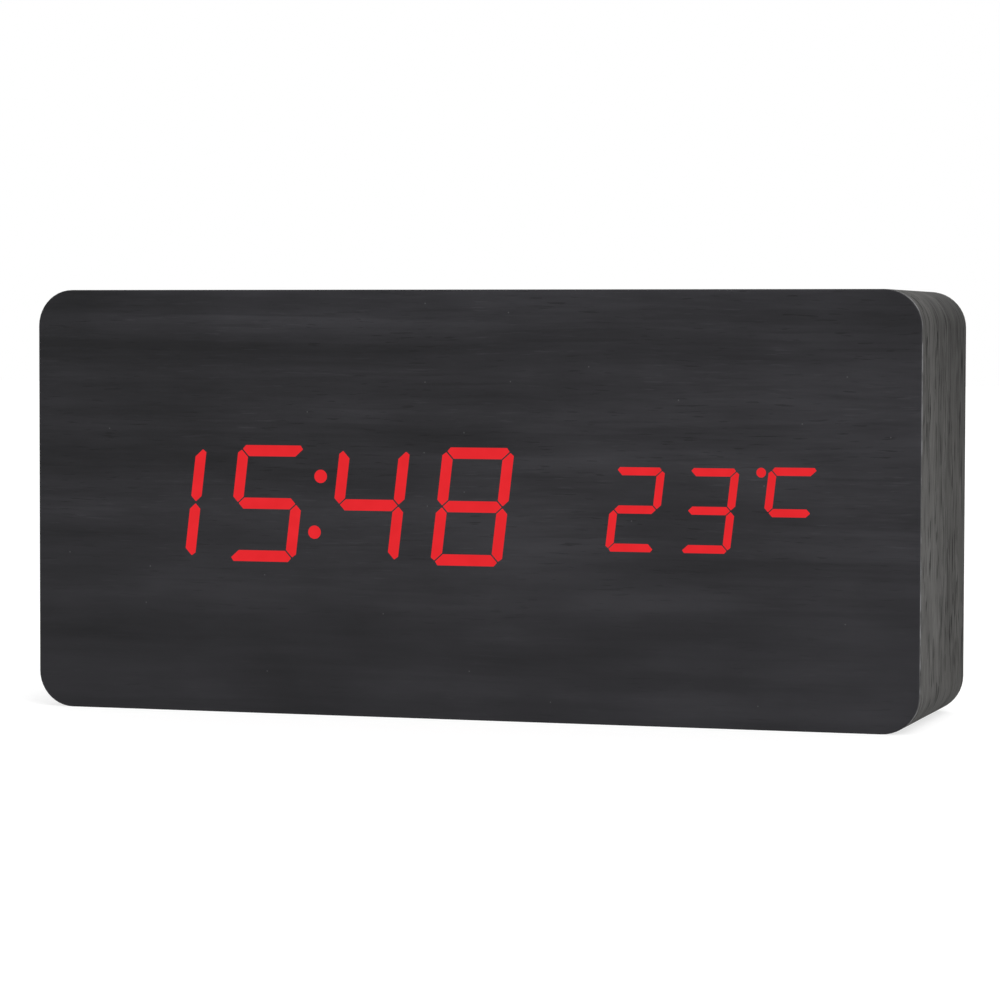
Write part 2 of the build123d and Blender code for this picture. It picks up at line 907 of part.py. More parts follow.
def rear_panel():
    width = opening_width - 2 * panel_clearance
    height = opening_height - 2 * panel_clearance
    panel = slab(width, height, panel_corner, panel_back, panel_face, z=middle)
    panel = round_rim(panel, True, panel_edge_radius)
    panel += bay_shell()
    panel += door_opening(door_back - bay_shelf, panel_back, -bay_wall)
    panel -= bay_room()
    panel -= door_opening(door_back, panel_face + cut_over, 0)
    panel += bay_ribs()
    panel -= tab_pockets() + latch_pockets() + lug_slots() + vent_slots() + button_marks()
    for x, z in panel_screw_places():
        seat = panel_face - screw_head_sink
        panel -= rod(panel_screw["head"] + 2 * screw_clearance, seat, panel_face + cut_over, x, z)
        panel -= screw_pass(panel_screw, x, z, panel_back - cut_over, seat)
    for x, z in post_places():
        panel += rod(post_diameter, board_rear, panel_back, x, z)
        panel -= screw_bite(post_screw, x, z, board_front, 1)
    for number in range(3):
        hole = button_diameter + 2 * button_clearance
        panel -= rod(hole, panel_back - cut_over, panel_face + cut_over, *button_place(number))
    x, z = control_place(socket_place_share)
    hole = socket_nose_diameter + 2 * socket_nose_clearance
    panel -= rod(hole, panel_back - cut_over, panel_face + cut_over, x, z)
    x, z = control_place(probe_place_share)
    panel -= rod(probe_hole_diameter, panel_back - cut_over, panel_face + cut_over, x, z)
    x, z = control_place(microphone_place_share)
    nest = microphone_diameter + 2 * microphone_clearance
    collar = rod(nest + 2 * microphone_collar, panel_back - microphone_height, panel_back, x, z)
    panel += collar - rod(nest, panel_back - microphone_height - cut_over, panel_back, x, z)
    return panel - rod(microphone_hole_diameter, panel_back - cut_over, panel_face + cut_over, x, z)


# Battery door: a plate with grip ribs, and two tabs that hook behind the panel's lip
def battery_door():
    door = door_opening(door_back, panel_face, door_clearance)
    tab_back = panel_back - tab_gap
    bottom = hinge_z + door_clearance
    for x in tab_places():
        x0 = x - tab_width / 2
        x1 = x + tab_width / 2
        door += block(x0, x1, tab_back - tab_thickness, door_back, bottom, bottom + tab_foot)
        door += block(x0, x1, tab_back - tab_thickness, tab_back, hinge_z - tab_reach, bottom + tab_foot)
    for number in range(grip_rib_count):
        z = door_top - grip_rib_inset - number * grip_rib_pitch
        width = grip_rib_length
        door += tablet(width, grip_rib_width, panel_face, panel_face + grip_rib_height, bay_x, z)
    return door


# The latch is a thin U: one leg under the door, the other up beside it with a hook under the panel
def door_latch():
    inner = door_top - latch_thickness / 2
    outer = door_top + 2 * latch_loop_radius + latch_thickness / 2
    turn = door_back - latch_depth + latch_loop_radius + latch_thickness
    path = Line((inner, door_back), (inner, turn))
    path += ThreePointArc((inner, turn), ((inner + outer) / 2, turn - (outer - inner) / 2), (outer, turn))
    path += Line((outer, turn), (outer, panel_face))
    profile = trace(path, latch_thickness)
    side = outer + latch_thickness / 2
    catch = panel_back - tab_gap
    low = catch - latch_hook_thickness
    end = side + latch_hook
    hook = [(side, catch), (end, catch), (end, low), (side, low - latch_hook_slope)]
    profile += make_face(Polyline(*hook, close=True))
    plane = Plane(origin=(bay_x - latch_width / 2, 0, 0), x_dir=(0, 0, 1), z_dir=(1, 0, 0))
    return extrude(plane * mirror(profile, Plane.XZ), amount=latch_width)


# Cells lie along X, each the other way round from the one below: the lowest has its nub at the right
def nub_side(number):
    return 1 if number % 2 == 0 else -1


def battery(number):
    way = nub_side(number)
    flat_end = (bay_right if way < 0 else bay_left) + way * (contact_thickness + spring_length)
    shoulder = flat_end + way * (cell_length - nub_height)
    cell = bar(cell_diameter, flat_end, shoulder, cell_y, cell_z[number])
    cell = fillet(cell.edges().filter_by(GeomType.CIRCLE), cell_edge_radius)
    return cell + bar(nub_diameter, shoulder, flat_end + way * cell_length, cell_y, cell_z[number])


# A plate against one end wall of the bay, with a dimple where a nub meets it
def contact_plate(numbers, way):
    wall = bay_right if way > 0 else bay_left
    inner = wall - way * contact_thickness
    x = (wall + inner) / 2
    y0 = cell_y - contact_height / 2
    y1 = cell_y + contact_height / 2
    plate = Part()
    for number in numbers:
        z = cell_z[number]
        plate += Pos(x, (y0 + y1) / 2, z) * Box(contact_thickness, y1 - y0, contact_width)
        if nub_side(number) == way:
            plate += bar(dimple_diameter, inner, inner - way * dimple_height, cell_y, z)
    if len(numbers) > 1:
        z = (cell_z[numbers[0]] + cell_z[numbers[1]]) / 2
        plate += Pos(x, cell_y, z) * Box(contact_thickness, contact_bridge, cell_pitch)
    else:
        z = cell_z[numbers[0]]
        y0 = cell_y - contact_thickness / 2
        y1 = cell_y + contact_thickness / 2
        end = bay_right + bay_wall + lug_reach
        plate += block(inner, end, y0, y1, z - lug_width / 2, z + lug_width / 2)
    return plate


def contact_plates():
    plates = []
    for number in range(0, cell_count, 2):
        plates.append(contact_plate([number, number + 1], -1))
    for number in range(1, cell_count - 1, 2):
        plates.append(contact_plate([number, number + 1], 1))
    return plates + [contact_plate([0], 1), contact_plate([cell_count - 1], 1)]


# The least gap between two turns of a spring, measured on points of its path
def spring_gap(path):
    turn_points = 36
    count = spring_turns * turn_points
    points = [path @ (step / count) for step in range(count + 1)]
    far = turn_points // 2
    gaps = [(points[a] - points[b]).length for a in range(count + 1 - far) for b in range(a + far, count + 1)]
    return min(gaps) - spring_wire


# A conical spring: its wide end sits on the contact plate, its narrow end on the flat end of the cell
def contact_spring(number):
    way = nub_side(number)
    wall = bay_right if way < 0 else bay_left
    height = spring_length - spring_wire
    base = (spring_base_diameter - spring_wire) / 2
    tip = (spring_tip_diameter - spring_wire) / 2
    taper = -math.degrees(math.atan((base - tip) / height))
    start = (wall + way * (contact_thickness + spring_wire / 2), cell_y, cell_z[number])
    path = Helix(height / spring_turns, height, base, start, (way, 0, 0), taper)
    print("spring gap", round(spring_gap(path), 2))
    section = Plane(origin=path @ 0, z_dir=path % 0) * Circle(spring_wire / 2)
    return sweep(section, path=path, is_frenet=True)


def contact_springs():
    return [contact_spring(number) for number in range(cell_count)]


# Leads from the two lugs to the control board
def battery_lead(number):
    lug_end = bay_right + bay_wall + lug_reach - lead_diameter / 2
    top = cell_y - contact_thickness / 2
    low = board_front - lead_dip
    right = control_left + lead_board_inset
    z = cell_z[number]
    points = [(lug_end, top, z), (lug_end, low, z), (right, low, z), (right, board_front, z)]
    runs = [math.dist(points[step], points[step + 1]) for step in range(3)]
    radii = [bend_share * min(runs[step], runs[step + 1]) for step in range(2)]
    print("lead bends", [round(radius, 2) for radius in radii])
    path = FilletPolyline(*points, radius=radii)
    section = Plane(origin=path @ 0, z_dir=path % 0) * Circle(lead_diameter / 2)
    return sweep(section, path=path)


def ribbon_places():
    x, z = control_place(ribbon_place_share)
    return x - ribbon_step, x, z


def ribbon_sockets():
    lower_x, upper_x, z = ribbon_places()
    width, depth, height = ribbon_socket
    lower = tablet(width, height, display_back, display_back + depth, lower_x, z)
    upper = tablet(width, height, board_front - depth, board_front, upper_x, z)
    return [lower, upper]


def ribbon_cable():
    lower_x, upper_x, z = ribbon_places()
    depth = ribbon_socket[1]
    y0 = display_back + depth
    y1 = board_front - depth
    turn = (y0 + y1) / 2
    points = [(lower_x, y0), (lower_x, turn), (upper_x, turn), (upper_x, y1)]
    bend = bend_share * min(turn - y0, ribbon_step)
    print("ribbon bends", round(bend, 2))
    strip = trace(FilletPolyline(*points, radius=bend), ribbon_thickness)
    return Pos(0, 0, z - ribbon_width / 2) * extrude(strip, amount=ribbon_width)


def write(name, pieces):
    solids = []
    for piece in pieces if isinstance(pieces, list) else [pieces]:
        solids += piece.solids()
    shape = solids[0] if len(solids) == 1 else Compound(children=solids)
    export_step(shape, f"parts/{name}.step")


def main():
    os.makedirs("parts", exist_ok=True)
    write("case_block", case_block())
    write("front_veneer", front_veneer())
    write("edge_veneer", edge_veneer())
    write("back_veneer", back_veneer())
    write("hour_digits", hour_digits())
    write("minute_digits", minute_digits())
    write("colon_dots", colon_dots())
    write("temperature_digits", temperature_digits())
    write("degree_dot", degree_dot())
    write("celsius_sign", celsius_sign())
    write("diffuser_sheet", diffuser_sheet())
    write("segment_mask", segment_mask())
    write("display_board", display_board())
    write("segment_leds", segment_leds())
    write("led_driver_chips", led_driver_chips())
    write("display_screws", display_screws())
    write("rear_panel", rear_panel())
    write("panel_screws", panel_screws())
    write("battery_door", battery_door())
    write("door_latch", door_latch())
    for number in range(cell_count):
        write(f"battery_{number + 1}", battery(number))
    write("contact_springs", contact_springs())
    write("contact_plates", contact_plates())
    write("control_board", control_board())
    write("control_board_screws", control_board_screws())
    write("clock_chip", clock_chip())
    write("quartz_crystal", quartz_crystal())
    write("alarm_buzzer", alarm_buzzer())
    write("capacitors", capacitors())
    write("resistors", resistors())
    write("microphone", microphone())
    write("temperature_probe", temperature_probe())
    write("power_socket", power_socket())
    write("button_switches", button_switches())
    for number, name in enumerate(("set", "up", "down")):
        write(f"{name}_button", button_cap(number))
        write(f"{name}_stem", button_stem(number))
    write("positive_lead", battery_lead(0))
    write("negative_lead", battery_lead(cell_count - 1))
    write("ribbon_sockets", ribbon_sockets())
    write("ribbon_cable", ribbon_cable())


main()
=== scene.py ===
import math

import bmesh
import bpy
from mathutils import Matrix, Vector


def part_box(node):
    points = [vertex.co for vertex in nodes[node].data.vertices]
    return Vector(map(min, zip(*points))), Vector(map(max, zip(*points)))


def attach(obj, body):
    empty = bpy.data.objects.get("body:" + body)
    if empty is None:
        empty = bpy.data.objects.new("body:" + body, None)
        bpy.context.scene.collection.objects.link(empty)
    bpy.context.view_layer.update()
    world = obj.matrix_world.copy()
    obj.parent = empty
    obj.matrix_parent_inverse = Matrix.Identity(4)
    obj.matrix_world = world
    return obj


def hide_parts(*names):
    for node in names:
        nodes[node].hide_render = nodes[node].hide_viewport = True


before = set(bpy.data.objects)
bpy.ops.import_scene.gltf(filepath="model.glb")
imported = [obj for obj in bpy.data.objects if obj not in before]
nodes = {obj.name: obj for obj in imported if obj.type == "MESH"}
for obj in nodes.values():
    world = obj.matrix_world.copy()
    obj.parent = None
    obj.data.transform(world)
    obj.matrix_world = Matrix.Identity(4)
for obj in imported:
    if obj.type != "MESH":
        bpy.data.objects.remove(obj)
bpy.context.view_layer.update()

# A desk clock: a block covered with dark wood-grain film, with red figures that shine through its front.
# The frame gives every place and size. In the dictionaries, lengths are in millimetres, turns in degrees,
# and colours are screen colours from 0 to 255.
mm = 0.001
scene = bpy.context.scene
scene.view_settings.view_transform = "Standard"
print("frame:", len(nodes), "nodes")


def tint(red, green, blue):  # a screen colour as the shader wants it
    parts = [part / 255 for part in (red, green, blue)]
    return tuple(part / 12.92 if part < 0.04 else ((part + 0.055) / 1.055) ** 2.4 for part in parts) + (1.0,)


def shades(colour, *shares):  # the same colour made darker or lighter
    return [tuple(part * share for part in tint(*colour)[:3]) + (1.0,) for share in shares]


def named(slots, name):  # the socket of this name, written without its spaces
    return next(slot for slot in slots if slot.name.replace(" ", "") == name)


def feed(slot, value):
    if isinstance(value, Wire):
        slot.id_data.links.new(value.socket, slot)
    elif slot.type == "VECTOR" and isinstance(value, (int, float)):
        slot.default_value = (value, value, value)
    else:
        slot.default_value = value


class Wire:  # a socket that can be added, multiplied and compared: each sum adds its node
    def __init__(self, home, socket):
        self.home = home
        self.socket = socket

    def __add__(self, other):
        return self.home.solve("ADD", self, other)

    def __radd__(self, other):
        return self.home.solve("ADD", other, self)

    def __sub__(self, other):
        return self.home.solve("SUBTRACT", self, other)

    def __rsub__(self, other):
        return self.home.solve("SUBTRACT", other, self)

    def __mul__(self, other):
        return self.home.solve("MULTIPLY", self, other)

    def __rmul__(self, other):
        return self.home.solve("MULTIPLY", other, self)

    def __gt__(self, other):
        return self.home.solve("GREATER_THAN", self, other)

    def __lt__(self, other):
        return self.home.solve("LESS_THAN", self, other)

    def __abs__(self):
        return self.home.solve("ABSOLUTE", self)

    def isVector(self):
        return self.socket.type == "VECTOR"

    def part(self, axis):
        return self.home.add("SeparateXYZ", None, self, out=axis)


def setStops(ramp, stops):
    while len(ramp.elements) < len(stops):
        ramp.elements.new(1.0)
    for element, (position, colour) in zip(ramp.elements, stops):
        element.position = position
        element.color = colour


class Graph:  # a tree of shader nodes
    def __init__(self, tree):
        self.tree = tree

    def add(self, kind, settings=None, *values, out=0, **sockets):
        made = self.tree.nodes.new("ShaderNode" + kind)
        for setting, value in (settings or {}).items():
            if setting == "stops":
                setStops(made.color_ramp, value)
            else:
                setattr(made, setting, value)
        free = [slot for slot in made.inputs if slot.enabled]
        for slot, value in zip(free, values):
            feed(slot, value)
        for name, value in sockets.items():
            feed(named(free, name), value)
        results = [slot for slot in made.outputs if slot.enabled]
        return Wire(self, results[out] if isinstance(out, int) else named(results, out))

    def solve(self, operation, *values):
        isVector = any(isinstance(v, tuple) or isinstance(v, Wire) and v.isVector() for v in values)
        return self.add("VectorMath" if isVector else "Math", {"operation": operation}, *values)


class Look(Graph):  # the nodes of one finish
    def __init__(self, name, **plain):
        self.material = bpy.data.materials.new(name)
        self.material.use_nodes = True
        super().__init__(self.material.node_tree)
        self.skin = self.tree.nodes["Principled BSDF"]
        self.set(**plain)

    def set(self, **sockets):  # sockets of the surface shader
        for name, value in sockets.items():
            feed(named(self.skin.inputs, name), value)

    def cover(self, colour):  # the colour all over
        self.colour = colour
        self.set(BaseColor=colour)

    def paint(self, mask, colour):  # another screen colour where the mask is 1
        self.cover(self.mix(mask, self.colour, tint(*colour)))

    def emboss(self, height):  # relief in millimetres, added to what is there
        normal = self.skin.inputs["Normal"]
        if not normal.is_linked:
            feed(normal, self.add("Bump", Distance=mm, Strength=1.0, Height=height))
            self.relief = height
            return
        self.relief = self.relief + height
        feed(normal.links[0].from_node.inputs["Height"], self.relief)

    def place(self):  # where a point is on the object, in millimetres
        return self.add("TexCoord", out="Object") * (1 / mm, 1 / mm, 1 / mm)

    def laid(self):  # the same from a piece's own map, round it and along it
        return self.add("UVMap", {"uv_map": "laid"}) * (1 / mm, 1 / mm, 1 / mm)

    def join(self, x, y, z=0.0):
        return self.add("CombineXYZ", X=x, Y=y, Z=z)

    def noise(self, at, size, detail=2.0, rough=0.5, seed=0.0):  # marks of this size, or of one for each axis
        sizes = size if isinstance(size, tuple) else (size, size, size)
        spot = at * tuple(1 / length for length in sizes) + (seed, seed * 1.7, seed * 0.6)
        return self.add("TexNoise", Vector=spot, Scale=1.0, Detail=detail, Roughness=rough)

    def dots(self, at, size, radius, share):  # round dots with soft rims, in a share of the cells
        cells = {"voronoi_dimensions": "2D"}
        spot = at * (1 / size, 1 / size, 1.0)
        far = self.add("TexVoronoi", cells, Vector=spot, Scale=1.0)
        chance = self.add("TexVoronoi", cells, out="Color", Vector=spot, Scale=1.0)
        dot = self.step(far, radius / size, 0.6 * radius / size)
        return dot * (self.add("SeparateColor", Color=chance) < share)

    def step(self, value, low, high):  # from 0 at low to 1 at high, which may be the smaller
        shape = {"interpolation_type": "SMOOTHSTEP"}
        return self.add("MapRange", shape, Value=value, FromMin=low, FromMax=high)

    def near(self, value, goal, reach):  # 1 where a value is within reach of the goal
        return abs(value - goal) < reach

    def mix(self, share, first, second):
        return self.add("Mix", {"data_type": "RGBA"}, Factor=share, A=first, B=second)

    def ramp(self, value, *stops):
        return self.add("ValToRGB", {"stops": stops}, Fac=value)


# The photograph's view, found by fitting the outline of the block
viewpoint = {
    "place": (181.872, -589.271, 62.487), "yaw": -17.1495, "pitch": -2.5491, "roll": 0.1458,
    "lens": 132.63, "sensor": 36, "nearest": 10,
}


def setCamera():
    yaw, pitch, roll = (math.radians(viewpoint[turn]) for turn in ("yaw", "pitch", "roll"))
    ahead = Vector((math.sin(yaw) * math.cos(pitch), math.cos(yaw) * math.cos(pitch), math.sin(pitch)))
    level = Vector((math.cos(yaw), -math.sin(yaw), 0))
    upright = level.cross(ahead)
    right = math.cos(roll) * level + math.sin(roll) * upright
    up = math.cos(roll) * upright - math.sin(roll) * level
    data = bpy.data.cameras.new("camera")
    data.lens = viewpoint["lens"]
    data.sensor_width = viewpoint["sensor"]
    data.clip_start = viewpoint["nearest"] * mm
    camera = bpy.data.objects.new("camera", data)
    turned = Matrix((right, up, -ahead)).transposed().to_4x4()
    camera.matrix_world = Matrix.Translation(Vector(viewpoint["place"]) * mm) @ turned
    scene.collection.objects.link(camera)
    scene.camera = camera


# Suns by where their light comes from: degrees right of the front, degrees up, power, softness
studio = {
    "sky": 0.55,
    "suns": {"key": (38, 42, 0.5, 30), "side": (-50, 25, 0.2, 40), "behind": (170, 40, 0.4, 35)},
    "floorSize": 8000,
    "floorShade": 0.8,
    "floorGlow": 0.72,
    "shadow": 0.35,
}


def whiteRays(graph):  # the rays to which floor and backdrop show as plain white
    camera, glossy, through = (
        graph.add("LightPath", out=f"Is{kind}Ray") for kind in ("Camera", "Glossy", "Transmission")
    )
    return graph.solve("MAXIMUM", graph.solve("MAXIMUM", camera, glossy), through)


def setSky():
    sky = bpy.data.worlds.new("sky")
    sky.use_nodes = True
    scene.world = sky
    glow = sky.node_tree.nodes["Background"]
    glow.inputs["Color"].default_value = (1, 1, 1, 1)
    feed(glow.inputs["Strength"], studio["sky"] + (1 - studio["sky"]) * whiteRays(Graph(sky.node_tree)))


def setSun(name, aside, rise, power, soft):
    data = bpy.data.lights.new(name, "SUN")
    data.energy = power * math.pi
    data.angle = math.radians(soft)
    turn, lift = math.radians(aside), math.radians(rise)
    source = Vector((math.sin(turn) * math.cos(lift), -math.cos(turn) * math.cos(lift), math.sin(lift)))
    lamp = bpy.data.objects.new(name, data)
    lamp.rotation_euler = source.to_track_quat("Z", "Y").to_euler()
    scene.collection.objects.link(lamp)


def setFloor():
    half = studio["floorSize"] / 2 * mm
    corners = [(-half, -half, 0), (half, -half, 0), (half, half, 0), (-half, half, 0)]
    mesh = bpy.data.meshes.new("floor")
    mesh.from_pydata(corners, [], [(0, 1, 2, 3)])
    floor = bpy.data.objects.new("floor", mesh)
    scene.collection.objects.link(floor)
    look = Look("floor")
    seen = whiteRays(look)
    dull = studio["floorShade"] + (studio["shadow"] - studio["floorShade"]) * seen
    matte = look.add("BsdfDiffuse", Color=look.join(dull, dull, dull))
    shine = look.add("Emission", Color=(1, 1, 1, 1), Strength=studio["floorGlow"] * seen)
    feed(look.tree.nodes["Material Output"].inputs["Surface"], look.add("AddShader", None, matte, shine))
    mesh.materials.append(look.material)


setCamera()
setSky()
for name, settings in studio["suns"].items():
    setSun(name, *settings)
setFloor()
print("studio set")


# Angles between two faces: up to the first they count as one flat face, and past the others an edge is sharp
creases = {"flat": 1, "sharp": 40, "softened": 50}


def headings(path):  # each point of a path, with the way in which the path goes there
    ends = [path[0], *path, path[-1]]
    return [(point, (after - before).normalized()) for before, point, after in zip(ends, path, ends[2:])]


def runs(path):  # how far along the path each point is
    found = [0.0]
    for point, following in zip(path, path[1:]):
        found.append(found[-1] + (following - point).length)
    return found


class Shape:  # a mesh being built, in metres. Each face keeps the number of its finish.
    def __init__(self):
        self.mesh = bmesh.new()
        self.map = self.mesh.loops.layers.uv.new("laid")

    def skin(self, rings, along, around, finish=0, caps=True):
        # Faces between closed rings of points. The map runs along the rings and around each of them.
        # finish may be a list with one number for each gap.
        rows = [[self.mesh.verts.new(point) for point in ring] for ring in rings]
        count = len(rings[0])
        finishes = finish if isinstance(finish, list) else [finish] * (len(rows) - 1)
        for gap, number in enumerate(finishes):
            for side in range(count):
                turn = (side + 1) % count
                corners = (rows[gap][side], rows[gap][turn], rows[gap + 1][turn], rows[gap + 1][side])
                face = self.mesh.faces.new(corners)
                face.material_index = number
                spots = ((side, gap), (side + 1, gap), (side + 1, gap + 1), (side, gap + 1))
                for loop, (step, row) in zip(face.loops, spots):
                    loop[self.map].uv = (around[step], along[row])
        if caps:
            self.mesh.faces.new(rows[0]).material_index = finishes[0]
            self.mesh.faces.new(rows[-1]).material_index = finishes[-1]

    def lathe(self, profile, base, axis, finish=0, steps=48):
        # profile holds (distance along the axis, radius) in millimetres, from one end to the other
        side = axis.orthogonal().normalized()
        other = axis.cross(side)
        turns = [2 * math.pi * step / steps for step in range(steps)]
        ways = [side * math.cos(turn) + other * math.sin(turn) for turn in turns]
        rings = [[base + (axis * far + way * radius) * mm for way in ways] for far, radius in profile]
        around = [step / steps * mm for step in range(steps + 1)]
        self.skin(rings, [far * mm for far, radius in profile], around, finish)

    def tube(self, path, radius, finish=0, sides=14):
        # A round tube along points in metres, with its frame carried along so that it doesn't twist
        side = (path[1] - path[0]).orthogonal().normalized()
        turns = [2 * math.pi * step / sides for step in range(sides)]
        rings = []
        for point, ahead in headings(path):
            side = (side - ahead * side.dot(ahead)).normalized()
            other = ahead.cross(side)
            rings.append([point + (side * math.cos(t) + other * math.sin(t)) * radius * mm for t in turns])
        self.skin(rings, runs(path), [step / sides * mm for step in range(sides + 1)], finish)

    def round(self, edges, width, segments):
        size = {"offset": width * mm, "segments": segments, "profile": 0.5}
        bmesh.ops.bevel(self.mesh, geom=edges, affect="EDGES", material=-1, **size)

    def block(self, low, high, width, finish):  # corners in metres, rounding in millimetres
        before = set(self.mesh.faces)
        corners = bmesh.ops.create_cube(self.mesh, size=1.0)["verts"]
        for vert in corners:
            vert.co = Vector(tuple(a + (b - a) * (c + 0.5) for a, b, c in zip(low, high, vert.co)))
        edges = dict.fromkeys(edge for vert in corners for edge in vert.link_edges)  # each edge once
        self.round(list(edges), width, 1)
        for face in set(self.mesh.faces) - before:
            face.material_index = finish

    def weld(self):
        bmesh.ops.remove_doubles(self.mesh, verts=self.mesh.verts, dist=0.001 * mm)

    def take(self, node):  # the node's own shape, with its flat faces whole again
        source = nodes[node].data
        made = [self.mesh.verts.new(vert.co) for vert in source.vertices]
        for face in source.polygons:
            self.mesh.faces.new([made[number] for number in face.vertices])
        self.weld()
        flat = math.radians(creases["flat"])
        bmesh.ops.dissolve_limit(self.mesh, angle_limit=flat, verts=self.mesh.verts, edges=self.mesh.edges)

    def piece(self, name, looks, slot, replaced=(), body="case", sharp=creases["sharp"]):
        self.weld()
        bmesh.ops.recalc_face_normals(self.mesh, faces=self.mesh.faces)
        for face in self.mesh.faces:
            face.smooth = True
        for edge in self.mesh.edges:
            edge.smooth = edge.is_manifold and edge.calc_face_angle(0) < math.radians(sharp)
        mesh = bpy.data.meshes.new(name)
        self.mesh.to_mesh(mesh)
        self.mesh.free()
        for look in looks:
            mesh.materials.append(look.material)
        made = bpy.data.objects.new(name, mesh)
        scene.collection.objects.link(made)
        made.modifiers.new("evenShading", "WEIGHTED_NORMAL").keep_sharp = True
        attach(made, body)
        if replaced:
            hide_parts(*replaced)
        return made


def soften(node, name, look, slot, width, body="case"):
    # The node's own shape with its sharp edges rounded, as moulding or tumbling leaves them
    shape = Shape()
    shape.take(node)
    sharp = math.radians(creases["sharp"])
    edges = [edge for edge in shape.mesh.edges if edge.is_manifold and edge.calc_face_angle(0) > sharp]
    shape.round(edges, width, 2)
    return shape.piece(name, [look], slot, [node], body, creases["softened"])


def solidsOf(node):  # the lowest and highest corner of each separate solid in a node, from left to right
    shape = Shape()
    shape.take(node)
    found, seen = [], set()
    for start in shape.mesh.verts:
        if start in seen:
            continue
        seen.add(start)
        queue, points = [start], []
        while queue:
            vert = queue.pop()
            points.append(vert.co)
            beside = {edge.other_vert(vert) for edge in vert.link_edges} - seen
            seen |= beside
            queue.extend(beside)
        low, high = (Vector(tuple(pick(p[axis] for p in points) for axis in range(3))) for pick in (min, max))
        found.append((low, high))
    shape.mesh.free()
    return sorted(found, key=lambda box: tuple(round(part, 5) for part in box[0].xzy))


def middleOf(box):
    return (box[0] + box[1]) / 2


def smoothLine(points):  # points along a smooth line that leaves the first point towards the second
    curve = bpy.data.curves.new("line", "CURVE")
    curve.dimensions = "3D"
    spline = curve.splines.new("NURBS")
    spline.points.add(len(points) - 1)
    for made, point in zip(spline.points, points):
        made.co = (*point, 1)
    spline.order_u = 3
    spline.use_endpoint_u = True
    holder = bpy.data.objects.new("line", curve)
    mesh = bpy.data.meshes.new_from_object(holder)
    found = [vert.co.copy() for vert in mesh.vertices]
    bpy.data.meshes.remove(mesh)
    bpy.data.objects.remove(holder)
    bpy.data.curves.remove(curve)
    return found


def dress(look, *names):
    for name in names:
        slots = nodes[name].data.materials
        for number in range(len(slots)):
            slots[number] = look.material


# Wood-grain film, printed and lightly embossed. Marks are sized along and across the grain, and their noise
# lies about 0.5: a pull is how far it moves the tone, and a step is where it turns into a clear mark.
frontGrain = {
    "gloss": 0.14, "rough": 0.6, "fibreRough": -0.12, "poreRough": 0.08, "wander": 2.0, "wanderSize": (50, 9),
    "tone": 0.47, "tonePlaces": (0.15, 0.5, 0.9),
    "dark": (24, 24, 26), "mid": (37, 36.6, 39.5), "light": (53, 52.5, 56), "poreTone": (21, 21, 22),
    "band": (80, 6.5), "bandPull": 0.75, "stripe": (120, 4.2), "stripeStep": (0.46, 0.52), "stripePull": 0.09,
    "cloud": (26, 13), "cloudPull": 0.6, "fibre": (7, 0.6), "fibrePull": 0.22,
    "patch": (20, 6), "patchStep": (0.42, 0.62),  # where pores gather and flecks keep away
    "pore": (4.0, 0.36), "poreStep": (0.63, 0.7), "poreLeast": 0.35, "poreDepth": 0.5,
    "line": (30, 0.9), "lineStep": (0.64, 0.72), "lineDepth": 0.22,
    "fleck": (5, 0.34), "fleckStep": (0.6, 0.74), "fleckMost": 1.15, "fleckPull": 0.16,
    "speckCell": 7.0, "speckRadius": 0.14, "speckShare": 0.17, "speckDepth": 0.3, "speck": (104, 104, 106),
    "emboss": 0.012, "fibreRise": 0.5, "poreRise": -0.9, "lineRise": -0.3, "fleckRise": 0.2,
    "slopes": {"X": (-85, 75, 0.18)},  # painted light and shade: from, to and pull of a change of tone along an axis
    "hazeEven": 0.4, "hazeCloud": 1.2,  # how much of a patch is even, and how much goes with the clouds
    # Patches of tone: painted light and shade, and bands in the print
    "hazes": [
        {"middle": (6, 32), "reach": (52, 24), "pull": 0.16},  # painted light: a broad paler pool about the middle
        {"middle": (-30, 60), "reach": (105, 4.2), "pull": -0.2},  # a dark band under the top, from the left
        {"middle": (-60, 49.5), "reach": (52, 2), "pull": -0.13},  # a thinner one below it
        {"middle": (-25, 65), "reach": (90, 2.6), "pull": 0.1},  # and a pale one above it
        {"middle": (-75, 46), "reach": (46, 38), "pull": -0.075},  # painted shade: a darker upper left
    ],
    "calm": {"from": 34, "to": 16, "share": 0.6},  # fewer marks from one height down to the other
    "rim": None,
}
edgeGrain = dict(
    frontGrain, gloss=0.05, rough=0.75, wander=0.5, tone=0.445,
    # Colours painted lighter than the front's, standing in for the light on the side, and pores darker and
    # deeper, partly painted shade in the grain
    dark=(44, 43.4, 42.4), mid=(70, 69.1, 67.4), light=(98, 97, 95.5), poreTone=(14, 14, 14),
    band=(60, 7), bandPull=0.35, stripe=(80, 3), stripePull=0.05,
    cloud=(9, 5), cloudPull=0.4, fibre=(8, 0.9), fibrePull=0.36, patch=(14, 2.6),
    pore=(5.0, 0.54), poreStep=(0.54, 0.59), poreLeast=0.2, poreDepth=0.88,
    line=(30, 1.2), lineDepth=0.15, fleck=(4, 0.5), fleckPull=0.2,
    # painted light and shade: the band paler towards the front and darker towards the top
    speckShare=0, slopes={"Y": (-24, 24, -0.28), "Z": (28, 78, -0.28)}, emboss=0.02, hazes=[], calm=None,
    # the cut edge beside the front, worn pale here and there, with a painted highlight along it
    rim={"width": 1.0, "wear": (3, 3, 1), "wearStep": (0.38, 0.62), "tone": (150, 150, 153), "share": 0.7},
)


